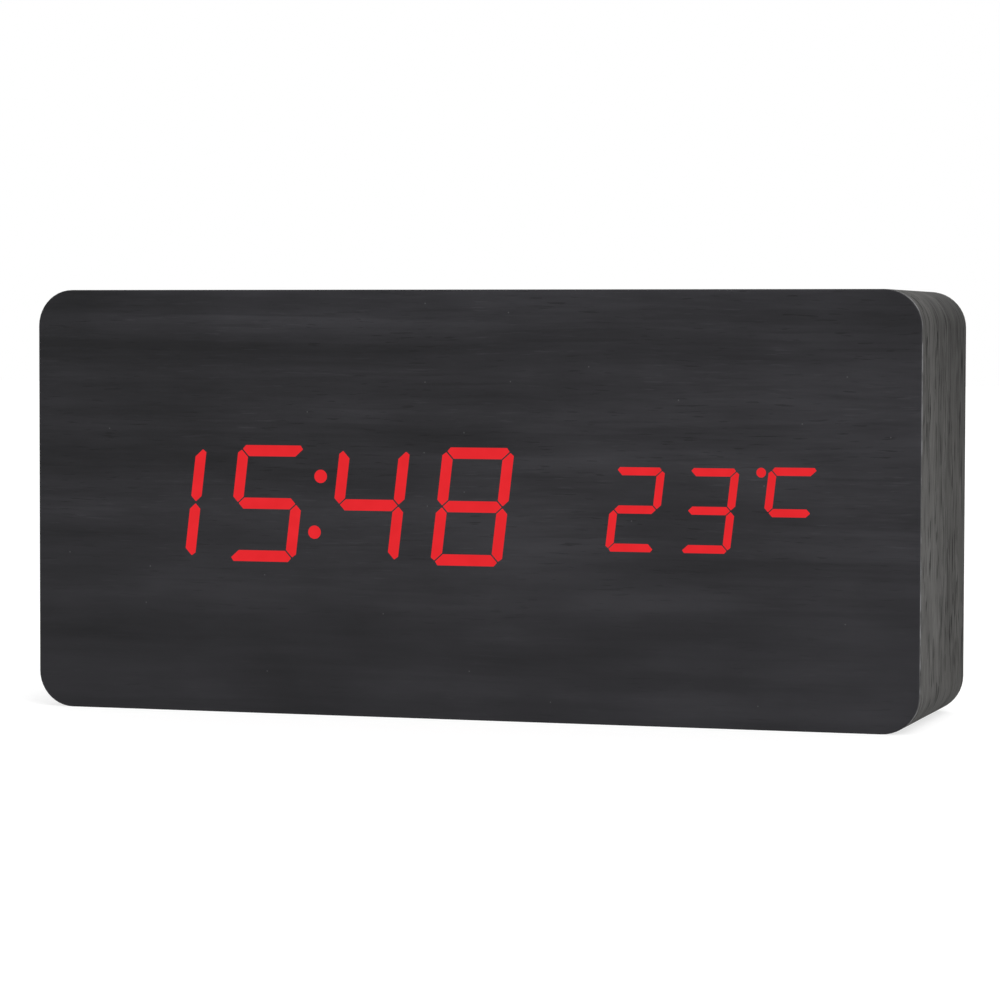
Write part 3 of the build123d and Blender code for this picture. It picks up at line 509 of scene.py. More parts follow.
def filmLook(name, grain, spread):
    look = Look(name, SpecularIORLevel=grain["gloss"])
    straight, place = spread(look), look.place()
    drift = (look.noise(straight, (*grain["wanderSize"], 1), seed=3) - 0.5) * grain["wander"]
    at = straight + look.join(0.0, drift)

    def marks(kind, seed, detail=2.0, rough=0.5):
        found = look.noise(at, (*grain[kind], 1), detail, rough, seed)
        return look.step(found, *grain[kind + "Step"]) if kind + "Step" in grain else found

    band = marks("band", 11, detail=3, rough=0.55)
    stripe = marks("stripe", 101)
    cloud = marks("cloud", 31, detail=3)
    fibre = marks("fibre", 23, detail=3, rough=0.55)
    patch = marks("patch", 41)
    line = marks("line", 83, detail=1)
    pore = marks("pore", 53, detail=1.5) * (grain["poreLeast"] + (1 - grain["poreLeast"]) * patch)
    fleck = marks("fleck", 67) * (grain["fleckMost"] - patch)
    if grain["calm"]:
        calm = grain["calm"]
        kept = 1 - calm["share"] * look.step(place.part("Z"), calm["from"], calm["to"])
        line, fleck, pore = line * kept, fleck * kept, pore * kept
        stripe, fibre = 0.5 + (stripe - 0.5) * kept, 0.5 + (fibre - 0.5) * kept
    tone = grain["tone"] + grain["bandPull"] * (band - 0.5) + grain["stripePull"] * (stripe - 0.5)
    tone = tone + grain["cloudPull"] * (cloud - 0.5) + grain["fibrePull"] * (fibre - 0.5)
    tone = tone + grain["fleckPull"] * fleck
    # painted light and shade in broad patches, and bands in the print
    for tonePatch in grain["hazes"]:
        aside = (at.part("X") - tonePatch["middle"][0]) * (1 / tonePatch["reach"][0])
        above = (at.part("Y") - tonePatch["middle"][1]) * (1 / tonePatch["reach"][1])
        away = look.solve("SQRT", aside * aside + above * above)
        share = grain["hazeEven"] + grain["hazeCloud"] * cloud
        tone = tone + tonePatch["pull"] * (1 - look.step(away, 0.0, 1.0)) * share
    # painted light and shade: broad changes of tone along an axis
    for axis, (low, high, pull) in grain["slopes"].items():
        tone = tone + pull * (look.step(place.part(axis), low, high) - 0.5)
    tones = [tint(*grain[shade]) for shade in ("dark", "mid", "light")]
    look.cover(look.ramp(tone, *zip(grain["tonePlaces"], tones)))
    sunk = look.solve("MAXIMUM", pore * grain["poreDepth"], line * grain["lineDepth"])
    look.paint(sunk, grain["poreTone"])
    if grain["speckShare"]:
        speck = look.dots(at, grain["speckCell"], grain["speckRadius"], grain["speckShare"])
        look.paint(speck * grain["speckDepth"], grain["speck"])
    if grain["rim"]:
        rim = grain["rim"]
        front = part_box("edge_veneer")[0].y / mm
        worn = look.step(look.noise(straight, rim["wear"], detail=3, seed=71), *rim["wearStep"])
        # the front edge paler: worn cut edge and painted highlight
        paleEdgeAndHighlight = (1 - look.step(place.part("Y"), front, front + rim["width"])) * worn
        look.paint(paleEdgeAndHighlight * rim["share"], rim["tone"])
    rise = grain["fibreRise"] * fibre + grain["poreRise"] * pore
    rise = rise + grain["lineRise"] * line + grain["fleckRise"] * fleck
    look.emboss(rise * grain["emboss"])
    look.set(Roughness=grain["rough"] + grain["fibreRough"] * (fibre - 0.5) + grain["poreRough"] * pore)
    return look


def acrossFront(look):
    at = look.place()
    return look.join(at.part("X"), at.part("Z"))


# The band round the edge, with its grain along it and its ends met underneath
band = {"corner": 6.0, "cornerSteps": 20, "thickness": 0.5, "softening": 0.07, "sharp": 30}


def roundedOutline(halfWidth, low, high, corner, steps):
    # Points and outward ways of a rounded rectangle in X and Z, once round from the middle of its underside
    points, ways = [Vector((0, 0, low))], [Vector((0, 0, -1))]
    for turn, (x, z) in enumerate(((1, low), (1, high), (-1, high), (-1, low))):
        middle = Vector((x * (halfWidth - corner), 0, z + (corner if z == low else -corner)))
        for step in range(steps + 1):
            angle = math.pi / 2 * (turn - 1 + step / steps)
            way = Vector((math.cos(angle), 0, math.sin(angle)))
            points.append(middle + corner * way)
            ways.append(way)
    return points, ways


def edgeBand(look):
    low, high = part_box("edge_veneer")
    corner, front, back = band["corner"] * mm, low.y, high.y
    points, ways = roundedOutline((high.x - low.x) / 2, low.z, high.z, corner, band["cornerSteps"])
    deep, soft = band["thickness"] * mm, band["softening"] * mm
    section = [(0, front + soft), (0, back - soft), (soft, back), (deep, back), (deep, front), (soft, front)]
    section.append(section[0])  # each has its depth below the outer face and its place from front to back
    rings = [[Vector((p.x, y, p.z)) - way * depth for p, way in zip(points, ways)] for depth, y in section]
    shape = Shape()
    shape.skin(rings, [y for depth, y in section], runs(points + points[:1]), caps=False)
    return shape.piece("edge_band", [look], "edge_film", ["edge_veneer"], sharp=band["sharp"])


frontFilm = filmLook("frontFilm", frontGrain, acrossFront)
dress(frontFilm, "front_veneer", "back_veneer")
edgeBand(filmLook("edgeFilm", edgeGrain, Look.laid))
print("films laid")


# The lit figures: flat red light through the film from the lamps behind, a little stronger in small patches
litFigures = {
    "lit": ("hour_digits", "minute_digits", "colon_dots", "temperature_digits", "degree_dot", "celsius_sign"),
    "dim": (222, 33, 39), "bright": (229, 36, 43), "dimTo": 0.3, "brightFrom": 0.7, "patch": 3,
    "film": (30, 5, 6), "rough": 0.6, "gloss": 0.06,
}


def litLook():
    red = litFigures
    look = Look("litRed", BaseColor=tint(*red["film"]), Roughness=red["rough"], SpecularIORLevel=red["gloss"])
    look.set(EmissionStrength=1.0)
    glow = look.noise(look.place(), red["patch"])
    stops = (red["dimTo"], tint(*red["dim"])), (red["brightFrom"], tint(*red["bright"]))
    look.set(EmissionColor=look.ramp(glow, *stops))
    return look


dress(litLook(), *litFigures["lit"])


# General finishes: how colour and roughness change over a moulding and over a metal
moulding = {"broad": 15, "broadShare": 0.7, "roughBroad": 0.14, "roughFine": 0.1}
metal = {"stain": 3, "stainShare": 0.5, "shades": (0.82, 1.06), "roughStain": 0.2, "roughLines": 0.08}


def mouldedLook(name, colour, rough, grain=0.35, depth=0.012, spread=0.1, gloss=0.4):
    look = Look(name, SpecularIORLevel=gloss)
    at = look.place()
    fine = look.noise(at, grain, detail=3, rough=0.6)
    broad = look.noise(at, moulding["broad"], detail=3, seed=5)
    wander = moulding["broadShare"] * broad + (1 - moulding["broadShare"]) * fine
    look.cover(look.mix(wander, *shades(colour, 1 - spread, 1 + spread)))
    look.emboss(fine * depth)
    look.set(Roughness=rough + moulding["roughBroad"] * (broad - 0.5) + moulding["roughFine"] * (fine - 0.5))
    return look


def metalLook(name, colour, rough, lines=(0.2, 0.2, 3), depth=0.004):
    look = Look(name, Metallic=1.0)
    at = look.place()
    brushed = look.noise(at, lines, detail=4, rough=0.65)
    stain = look.noise(at, metal["stain"], detail=3, seed=7)
    wander = (1 - metal["stainShare"]) * brushed + metal["stainShare"] * stain
    look.cover(look.mix(wander, *shades(colour, *metal["shades"])))
    look.emboss(brushed * depth)
    look.set(Roughness=rough + metal["roughStain"] * (stain - 0.5) + metal["roughLines"] * (brushed - 0.5))
    return look


def plate(look, mask, colour):  # bare metal where the mask is 1
    look.paint(mask, colour)
    look.set(Metallic=mask)


def fromAxis(look, centre):  # how far a point is from a line along Y, in millimetres
    at = look.place()
    away = look.join(at.part("X") - centre.x / mm, 0.0, at.part("Z") - centre.z / mm)
    return look.solve("LENGTH", away)


# Pan-headed screws. Each node has the height of its heads, and the way in which its screws run in along Y.
screw = {
    "heads": {"panel_screws": (1.3, -1), "display_screws": (1.2, -1), "control_board_screws": (1.2, 1)},
    # the cross in each head is painted dark as shade
    "crossDepthShare": 0.5, "crossReach": 0.03, "crossShare": 0.8, "soot": (34, 34, 34),
    "pitch": 0.7, "threadDepth": 0.22, "threadFrom": 0.1,
    "steel": (150, 150, 148), "rough": 0.32, "edge": 0.07,
}


def screwLook(node, height, way):
    # Steel with a rolled thread where the screw runs on past its seat, and painted shade in the cross of the
    # head
    low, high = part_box(node)
    seat = (high.y if way < 0 else low.y) / mm + way * height
    look = metalLook(node, screw["steel"], screw["rough"])
    far = (look.place().part("Y") - seat) * way
    half = screw["pitch"] / 2
    thread = look.solve("PINGPONG", far, half) * (far > screw["threadFrom"])
    look.emboss(thread * (screw["threadDepth"] / half))
    # painted shade where the cross is sunk into the head
    sunk = look.near(far, -height * screw["crossDepthShare"], screw["crossReach"])
    look.paint(sunk * screw["crossShare"], screw["soot"])
    return look


# The back: panel, door, latch, buttons, screws and socket. An edge is how far sharp edges are rounded.
panel = {
    "plastic": (27, 27, 29), "rough": 0.52, "grain": 0.28, "emboss": 0.016, "edge": 0.12,
    "markDepth": 0.3, "markReach": 0.02, "paint": (205, 205, 202), "wear": 0.5, "wearStep": (0.25, 0.35),
}
door = {"plastic": (29, 29, 31), "rough": 0.5, "edge": 0.12, "latchEdge": 0.08}
button = {"cap": (16, 16, 17), "capRough": 0.3, "stem": (190, 188, 180), "stemRough": 0.45, "edge": 0.1}
socket = {"plastic": (18, 18, 19), "rough": 0.4, "pin": (190, 188, 180), "pinRadius": 0.7, "edge": 0.08}


def panelLook():
    look = mouldedLook("panelPlastic", panel["plastic"], panel["rough"], panel["grain"], panel["emboss"])
    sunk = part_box("rear_panel")[1].y / mm - panel["markDepth"]
    painted = look.near(look.place().part("Y"), sunk, panel["markReach"])
    worn = look.noise(look.place(), panel["wear"], detail=3, seed=9)
    look.paint(painted * look.step(worn, *panel["wearStep"]), panel["paint"])
    return look


def socketLook():
    look = mouldedLook("socketPlastic", socket["plastic"], socket["rough"])
    plate(look, fromAxis(look, middleOf(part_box("power_socket"))) < socket["pinRadius"], socket["pin"])
    return look


doorPlastic = mouldedLook("doorPlastic", door["plastic"], door["rough"], panel["grain"], panel["emboss"])
buttonPlastic = mouldedLook("buttonPlastic", button["cap"], button["capRough"], 0.5, 0.006)
stemPlastic = mouldedLook("stemPlastic", button["stem"], button["stemRough"], 0.5, 0.006)
soften("rear_panel", "back_panel", panelLook(), "panel_plastic", panel["edge"])
soften("battery_door", "bay_door", doorPlastic, "door_plastic", door["edge"], body="door")
soften("door_latch", "spring_latch", doorPlastic, "door_plastic", door["latchEdge"], body="door")
for key in ("set", "up", "down"):
    soften(f"{key}_button", f"{key}_cap", buttonPlastic, "button_plastic", button["edge"], body=f"{key}_key")
    soften(f"{key}_stem", f"{key}_plunger", stemPlastic, "stem_plastic", button["edge"], body=f"{key}_key")
for node, head in screw["heads"].items():
    soften(node, node.replace("screws", "fixings"), screwLook(node, *head), "screw_steel", screw["edge"])
soften("power_socket", "power_inlet", socketLook(), "socket_plastic", socket["edge"])
print("back finished")


# Battery cells: a printed jacket rolled over the ends, a flat end, an insulating ring and the nub
cell = {
    "nubHeight": 1.0, "nubRadius": 1.9, "nubEdge": 0.25, "nubMiddle": 0.5, "ledge": 0.5, "ringRadius": 3.1,
    "endRadius": 3.9, "endMiddle": 1.0, "rollRadius": 4.5, "roll": 0.4, "rollRise": 0.05,
    "sunk": 0.15, "edge": 0.2, "jacket": (34, 76, 128), "band": (226, 226, 222), "dark": (28, 29, 32),
    "bandWidth": 1.2, "darkWidth": 7.5, "signSize": 2.6, "signLine": 0.45,
    "gloss": 0.45, "coat": 0.25, "coatRough": 0.15, "rough": 0.34,
    "scuff": (0.4, 7, 1), "scuffShades": (0.88, 1.12), "scuffDepth": 0.006, "scuffRough": 0.12,
}


def jacketLook(length, radius):
    look = Look("cellJacket", SpecularIORLevel=cell["gloss"])
    look.set(CoatWeight=cell["coat"], CoatRoughness=cell["coatRough"])
    at = look.laid()
    far = at.part("Y")
    turn = (at.part("X") - 0.5) * (2 * math.pi * radius)
    scuffs = look.noise(look.join(turn, far), cell["scuff"], detail=3)
    look.cover(look.mix(scuffs, *shades(cell["jacket"], *cell["scuffShades"])))
    darkFrom = length - cell["nubHeight"] - cell["darkWidth"]
    look.paint(far > darkFrom, cell["dark"])
    look.paint(look.near(far, darkFrom, cell["bandWidth"] / 2), cell["band"])
    half, thin = cell["signSize"] / 2, cell["signLine"] / 2
    for place, isPlus in ((darkFrom + cell["darkWidth"] / 2, True), (cell["darkWidth"] / 2, False)):
        sign = look.near(turn, 0.0, half) * look.near(far, place, thin)
        if isPlus:
            sign = look.solve("MAXIMUM", sign, look.near(turn, 0.0, thin) * look.near(far, place, half))
        look.paint(sign, cell["band"])
    look.emboss(scuffs * cell["scuffDepth"])
    look.set(Roughness=cell["rough"] + cell["scuffRough"] * (scuffs - 0.5))
    return look


def nubWay(node):  # 1 where the nub is at the right end, and -1 where it is at the left
    low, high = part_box(node)
    axis = middleOf((low, high))

    def spread(x):
        close = [vert.co for vert in nodes[node].data.vertices if abs(vert.co.x - x) < 0.01 * mm]
        return max(math.hypot(point.y - axis.y, point.z - axis.z) for point in close)

    return 1 if spread(high.x) < spread(low.x) else -1


def batteryCell(node, jacket, steel, ring):
    low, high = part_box(node)
    middle, way = middleOf((low, high)), nubWay(node)
    length, radius = (high.x - low.x) / mm, (high.z - low.z) / 2 / mm
    base = Vector((low.x if way > 0 else high.x, middle.y, middle.z))
    roll, rise, sunk, edge, nub = (cell[size] for size in ("roll", "rollRise", "sunk", "edge", "nubRadius"))
    shoulder = length - cell["nubHeight"]
    steelEnd = [(0.0, cell["endMiddle"]), (0.0, cell["endRadius"] - edge), (sunk, cell["endRadius"])]
    rolled = [(rise, radius - roll), (sunk, radius - 0.5 * roll), (roll, radius)]
    jacketSide = rolled + [(shoulder - far, wide) for far, wide in reversed(rolled)]
    ringEnd = [(shoulder - edge, cell["rollRadius"]), (shoulder - sunk, cell["ringRadius"])]
    nubEnd = [(shoulder, nub + cell["ledge"]), (shoulder, nub), (length - edge, nub)]
    nubEnd += [(length, nub - cell["nubEdge"]), (length, cell["nubMiddle"])]
    shape = Shape()
    profile = steelEnd + [(sunk, cell["rollRadius"])] + jacketSide + ringEnd + nubEnd
    finishes = [1] * len(steelEnd) + [0] * len(jacketSide)
    finishes += [2] * (len(ringEnd) + 1) + [1] * (len(nubEnd) - 1)
    shape.lathe(profile, base, Vector((way, 0, 0)), finishes)
    shape.piece(node.replace("battery", "cell"), [jacket, steel, ring], "battery_jacket", [node])
    return base, way


cellSteel = metalLook("cellSteel", (186, 186, 184), 0.28, lines=3)
ringPlastic = mouldedLook("ringPlastic", (214, 212, 204), 0.5, 0.6, 0.008)
firstLow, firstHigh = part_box("battery_1")
cellJacket = jacketLook((firstHigh.x - firstLow.x) / mm, (firstHigh.z - firstLow.z) / 2 / mm)
cells = [batteryCell(f"battery_{number}", cellJacket, cellSteel, ringPlastic) for number in (1, 2, 3, 4)]


# Springs of drawn wire: each starts flat on its plate, winds in towards the cell and ends flat on it
spring = {"wire": 0.5, "wide": 6.2, "narrow": 4.2, "turns": 3, "flatShare": 0.13, "steps": 40, "sides": 12}


def springPath(start, way, reach, base):  # from the plate at x = start, round the axis of the cell at base
    path, count, flat = [], spring["turns"] * spring["steps"], spring["flatShare"]
    for step in range(count + 1):
        share = step / count
        rise = min(max((share - flat) / (1 - 2 * flat), 0.0), 1.0)
        climb = spring["wire"] / 2 * mm + rise * (reach - spring["wire"] * mm)
        radius = (spring["wide"] + (spring["narrow"] - spring["wide"]) * share - spring["wire"]) / 2 * mm
        turn = 2 * math.pi * spring["turns"] * share
        y, z = base.y + radius * math.cos(turn), base.z + radius * math.sin(turn)
        path.append(Vector((start + way * climb, y, z)))
    return path


def contactSprings(look):
    shape = Shape()
    boxes = solidsOf("contact_springs")
    for base, way in cells:
        low, high = next(box for box in boxes if box[0].z < base.z < box[1].z)
        path = springPath(low.x if way > 0 else high.x, way, high.x - low.x, base)
        shape.tube(path, spring["wire"] / 2, sides=spring["sides"])
    return shape.piece("cell_springs", [look], "contact_metal", ["contact_springs"])


plateMetal = metalLook("plateMetal", (196, 192, 178), 0.26, lines=(0.25, 3, 0.25))
contactSprings(metalLook("springWire", (190, 187, 178), 0.25, lines=0.5))
soften("contact_plates", "cell_plates", plateMetal, "contact_metal", 0.06)
print("battery bay filled")


# Leads from the bay's lugs to the control board, stripped and soldered at both ends
lead = {
    "radius": 0.65, "core": 0.35, "bare": 1.1, "dip": 7.0, "blobRadius": 1.0, "blobHeight": 0.9,
    "red": (176, 24, 22), "black": (24, 24, 26),
}
blobShares = ((0.0, 1.0), (0.15, 0.8), (0.5, 0.5), (1.0, 0.3))  # of a solder fillet's height and radius
solder = metalLook("solder", (188, 190, 194), 0.2, lines=0.6, depth=0.02)


def blob(shape, place, way, radius, height, finish):  # a fillet of solder standing on a face
    shape.lathe([(up * height, out * radius) for up, out in blobShares], place, way, finish, steps=16)


def batteryLead(node, colour):
    low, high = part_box(node)
    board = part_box("control_board")[0].y
    z, radius = middleOf((low, high)).z, lead["radius"] * mm
    left, right, dip = low.x + radius, high.x - radius, board - lead["dip"] * mm
    corners = ((left, high.y), (left, dip), (right, dip), (right, board))
    path = smoothLine([Vector((x, y, z)) for x, y in corners])
    bare, ends = lead["bare"] * mm, (path[0], path[-1])
    covered = [point for point in path if all((point - end).length > bare for end in ends)]
    shape = Shape()
    shape.tube(path, lead["core"], 1)
    shape.tube(covered, lead["radius"], 0)
    for end in ends:
        blob(shape, end, Vector((0, -1, 0)), lead["blobRadius"], lead["blobHeight"], 1)
    look = mouldedLook(f"{colour}Wire", lead[colour], 0.38, 0.4, 0.008)
    return shape.piece(f"{colour}_wire", [look, solder], f"{colour}_lead", [node])


batteryLead("positive_lead", "red")
batteryLead("negative_lead", "black")


# The ribbon cable between the boards: a row of wires side by side, the first one red
ribbon = {
    "wires": 10, "wireSteps": 6, "half": 0.35, "webShare": 0.55,
    "grey": (158, 158, 160), "red": (178, 30, 28),
}


def ribbonCable():
    low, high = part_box("ribbon_cable")
    half, web = ribbon["half"] * mm, ribbon["webShare"]
    left, right, turn = low.x + half, high.x - half, (low.y + high.y) / 2
    corners = ((left, low.y), (left, turn), (right, turn), (right, high.y))
    path = smoothLine([Vector((x, y, 0)) for x, y in corners])
    pitch = (high.z - low.z) / ribbon["wires"]
    section = []
    for side, order in ((1, range(ribbon["wires"])), (-1, reversed(range(ribbon["wires"])))):
        for wire in order:
            for step in range(ribbon["wireSteps"]):
                angle = math.pi * (step + 0.5) / ribbon["wireSteps"]
                z = low.z + pitch * (wire + 0.5 - side * 0.5 * math.cos(angle))
                section.append((side * half * (web + (1 - web) * math.sin(angle)), z))
    rings = []
    for point, ahead in headings(path):
        across = Vector((ahead.y, -ahead.x, 0))
        rings.append([Vector((point.x, point.y, z)) + across * off for off, z in section])
    shape = Shape()
    shape.skin(rings, runs(path), [step / len(section) * mm for step in range(len(section) + 1)])
    look = mouldedLook("ribbonCover", ribbon["grey"], 0.42, 0.4, 0.006)
    look.paint(look.place().part("Z") < (low.z + pitch) / mm, ribbon["red"])
    return shape.piece("flat_ribbon", [look], "ribbon", ["ribbon_cable"])


ribbonCable()
connectorPlastic = mouldedLook("connectorPlastic", (206, 202, 190), 0.5, 0.5, 0.008)
soften("ribbon_sockets", "ribbon_connectors", connectorPlastic, "ribbon_socket", 0.18)


# Capacitors: aluminium cans in printed sleeves, beaded above a rubber foot and scored on top
can = {
    "sleeve": (22, 26, 44), "stripe": (196, 198, 202), "stripeFrom": 0.4, "stripeTo": 0.56,
    "dashHalfPitch": 1.1, "dashReach": 0.22, "dashAside": 0.03,
    "rubber": (30, 30, 30), "top": (198, 198, 200),
    "foot": 0.6, "footInset": 0.3, "bead": 0.8, "beadHalf": 0.2, "groove": 0.25, "curl": 0.25, "middle": 0.3,
    "score": 0.1, "scoreDepth": 0.12,
}


def sleeveLook():
    look = mouldedLook("canSleeve", can["sleeve"], 0.36, 0.5, 0.005)
    at = look.laid()
    share, far = at.part("X"), at.part("Y")
    low, high, half = can["stripeFrom"], can["stripeTo"], can["dashHalfPitch"]
    stripe = (share > low) * (share < high)
    dash = look.near(look.solve("PINGPONG", far, half), half / 2, can["dashReach"])
    dash = dash * look.near(share, (low + high) / 2, can["dashAside"])
    look.paint(stripe, can["stripe"])
    look.paint(stripe * dash, can["sleeve"])
    return look


def scoredLook(boxes):  # a cross scored in the top of each can
    look = metalLook("canTop", can["top"], 0.3, lines=1)
    place = look.place()
    for box in boxes:
        middle = middleOf(box) / mm
        for axis, goal in (("X", middle.x), ("Z", middle.z)):
            look.emboss(look.near(place.part(axis), goal, can["score"]) * -can["scoreDepth"])
    return look


def canProfile(radius, tall):  # from the foot to the top, with the finish of each stretch
    foot, inner, curl = can["foot"], radius - can["footInset"], can["curl"]
    bead, half = foot + can["bead"], can["beadHalf"]
    rubber = [(0.0, inner), (foot, inner)]
    side = [(foot, radius), (bead, radius), (bead + half, radius - can["groove"]), (bead + 2 * half, radius)]
    curls = ((2, 0), (1, 0.5), (0.5, 2), (0.4, 2.1), (0, 2.4))  # down from the top and in, in curls
    top = [(tall - down * curl, radius - inward * curl) for down, inward in curls]
    return rubber + side + top + [(tall, can["middle"])], [1, 1] + [0] * 6 + [2] * 3


def electrolytics():
    boxes = solidsOf("capacitors")
    shape = Shape()
    for low, high in boxes:
        middle = middleOf((low, high))
        profile, finishes = canProfile((high.x - low.x) / 2 / mm, (high.y - low.y) / mm)
        shape.lathe(profile, Vector((middle.x, high.y, middle.z)), Vector((0, -1, 0)), finishes)
    looks = [sleeveLook(), mouldedLook("canRubber", can["rubber"], 0.7), scoredLook(boxes)]
    return shape.piece("electrolytic_cans", looks, "capacitor_can", ["capacitors"])


# The clock's crystal: a drawn can with a lip at its foot, a rounded end and two bent legs
crystal = {
    "metal": (202, 202, 200), "lip": 0.15, "lipShare": 0.85, "roundFrom": 0.4, "roundTo": 0.1,
    "roundShare": 0.9, "endShare": 0.6, "legShare": 0.35, "legReach": 0.9, "legRadius": 0.17,
}


def crystalCan():
    low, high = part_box("quartz_crystal")
    middle, length, radius = middleOf((low, high)), (high.x - low.x) / mm, (high.z - low.z) / 2 / mm
    profile = [(0.0, crystal["lipShare"] * radius), (crystal["lip"], radius)]
    wide, end = crystal["roundShare"] * radius, crystal["endShare"] * radius
    profile += [(length - crystal["roundFrom"], radius), (length - crystal["roundTo"], wide), (length, end)]
    shape = Shape()
    shape.lathe(profile, Vector((low.x, middle.y, middle.z)), Vector((1, 0, 0)))
    out = low.x - crystal["legReach"] * mm
    for side in (-1, 1):
        z = middle.z + side * crystal["legShare"] * radius * mm
        points = [(low.x, middle.y, z), (out, middle.y, z), (out, high.y, z)]
        shape.tube(smoothLine([Vector(point) for point in points]), crystal["legRadius"], sides=8)
    look = metalLook("crystalMetal", crystal["metal"], 0.18, lines=(2, 0.2, 0.2))
    return shape.piece("crystal_can", [look], "crystal_can", ["quartz_crystal"])


# Chips: black moulded bodies with tinned legs along both sides, and a dimple that marks the first leg
chip = {
    "width": 7.5, "legInset": 0.02, "plastic": (26, 26, 28), "tin": (196, 196, 196), "edge": 0.05,
    "dimpleAside": 1.4, "dimpleDownShare": 0.35, "dimpleRadius": 0.45, "dimpleDepth": 0.15,
}


def chipLook(name, node):
    look = mouldedLook(name, chip["plastic"], 0.6, 0.2, 0.01)
    middle, width = middleOf(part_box(node)) / mm, chip["width"]
    plate(look, abs(look.place().part("Z") - middle.z) > width / 2 - chip["legInset"], chip["tin"])
    for low, high in solidsOf(node):
        z = middle.z * mm - chip["dimpleDownShare"] * width * mm
        spot = Vector((low.x + chip["dimpleAside"] * mm, 0, z))
        look.emboss((fromAxis(look, spot) < chip["dimpleRadius"]) * -chip["dimpleDepth"])
    return look


# Chip LEDs and resistors: small blocks with soldered ends, the LEDs with a lens on the side to the front
small = {"bodyEdge": 0.03, "endEdge": 0.05, "lensEdge": 0.04}
lamp = {
    "endShare": 0.16, "lensRise": 0.12, "lensInset": 0.12, "lensSeat": 0.2,
    "housing": (222, 220, 210), "lens": (214, 190, 150),
}
resistor = {"endShare": 0.18, "body": (32, 32, 34)}


def capped(shape, low, high, share):  # a small block with metal ends along its longer side
    axis = 0 if high.x - low.x > high.z - low.z else 2
    step = Vector((0, 0, 0))
    step[axis] = (high - low)[axis] * share
    shape.block(low + step, high - step, small["bodyEdge"], 0)
    lower, upper = low.copy(), high.copy()
    upper[axis] = low[axis] + step[axis]
    shape.block(low, upper, small["endEdge"], 1)
    lower[axis] = high[axis] - step[axis]
    shape.block(lower, high, small["endEdge"], 1)
    return step


def lampRow():
    shape = Shape()
    for low, high in solidsOf("segment_leds"):
        step = capped(shape, low + Vector((0, lamp["lensRise"] * mm, 0)), high, lamp["endShare"])
        inset = Vector((lamp["lensInset"] * mm, 0, lamp["lensInset"] * mm)) + step
        seat = Vector((high.x, low.y + lamp["lensSeat"] * mm, high.z))
        shape.block(low + inset, seat - inset, small["lensEdge"], 2)
    housing = mouldedLook("lampHousing", lamp["housing"], 0.45, 0.3, 0.006)
    lens = mouldedLook("lampLens", lamp["lens"], 0.15, 0.5, 0.004)
    return shape.piece("lamp_chips", [housing, solder, lens], "led_chip", ["segment_leds"])


def resistorRow():
    shape = Shape()
    for low, high in solidsOf("resistors"):
        capped(shape, low, high, resistor["endShare"])
    body = mouldedLook("resistorBody", resistor["body"], 0.4, 0.3, 0.006)
    return shape.piece("resistor_chips", [body, solder], "resistor_ceramic", ["resistors"])


# Circuit boards: solder mask over raised tracks, tinned pads and bare cut edges
board = {
    "mask": (14, 74, 48), "track": (20, 98, 62), "tin": (206, 206, 208), "edge": (150, 148, 96),
    "cutInset": 0.02,
    "pitch": 1.27, "trackWidth": 0.3, "trackRun": 16, "trackBreak": 1.2, "trackStep": (0.48, 0.5),
    "region": (18, 18, 1), "regionStep": (0.49, 0.51), "raised": 0.03,
    "padPitches": 4, "padRadius": 0.65, "padShare": 0.4,
}


def boardLook(name, node):
    look = mouldedLook(name, board["mask"], 0.36, 0.6, 0.004)
    low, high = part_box(node)
    at = look.place()
    flat = look.join(at.part("X"), at.part("Z"))
    halfPitch, half = board["pitch"] / 2, board["trackWidth"] / 2
    run, between = board["trackRun"], board["trackBreak"]
    lanes = []
    for axis, size, seed in (("Z", (run, between, 1), 13), ("X", (between, run, 1), 29)):
        lane = look.solve("PINGPONG", at.part(axis), halfPitch) < half
        lanes.append(lane * look.step(look.noise(flat, size, detail=1, seed=seed), *board["trackStep"]))
    region = look.step(look.noise(flat, board["region"], detail=0, seed=47), *board["regionStep"])
    track = lanes[0] * region + lanes[1] * (1 - region)
    pad = look.dots(flat, board["padPitches"] * board["pitch"], board["padRadius"], board["padShare"])
    deep = (high.y - low.y) / 2 / mm - board["cutInset"]
    cut = look.near(at.part("Y"), middleOf((low, high)).y / mm, deep)
    look.paint(track, board["track"])
    look.paint(pad, board["tin"])
    look.paint(cut, board["edge"])
    look.emboss((track + pad) * board["raised"])
    look.set(Metallic=pad * (1 - cut))
    return look


# Solder joints of the control board: how far the legs stand from their part's middle, aside and up. Those
# that come out ahead are left out where a part on that side would cover them.
joint = {
    "radius": 0.85, "height": 0.9, "clear": 1.0,
    "behind": {"alarm_buzzer": (3.2, 0.0), "capacitors": (1.25, 0.0)},
    "ahead": {"button_switches": (3.25, 2.25), "power_socket": (2.4, 2.4), "microphone": (1.25, 0.0)},
    "covers": ("clock_chip", "ribbon_sockets", "capacitors", "alarm_buzzer"),
}


def legsOf(node, aside, up):  # where a node's legs come through the board, in X and Z
    middles = [middleOf(box) for box in solidsOf(node)]
    ways = [(x, z) for x in (-aside, aside) for z in {-up, up}]  # one row of legs where up is 0
    return [(middle.x + x * mm, middle.z + z * mm) for middle in middles for x, z in ways]


def solderJoints():
    low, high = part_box("control_board")
    shape, clear = Shape(), joint["clear"] * mm
    for node, spread in joint["behind"].items():
        for x, z in legsOf(node, *spread):
            blob(shape, Vector((x, high.y, z)), Vector((0, 1, 0)), joint["radius"], joint["height"], 0)
    covers = [box for node in joint["covers"] for box in solidsOf(node)]
    for node, spread in joint["ahead"].items():
        for x, z in legsOf(node, *spread):
            if any(a.x - clear < x < b.x + clear and a.z - clear < z < b.z + clear for a, b in covers):
                continue
            blob(shape, Vector((x, low.y, z)), Vector((0, -1, 0)), joint["radius"], joint["height"], 0)
    return shape.piece("solder_joints", [solder], "contact_metal")


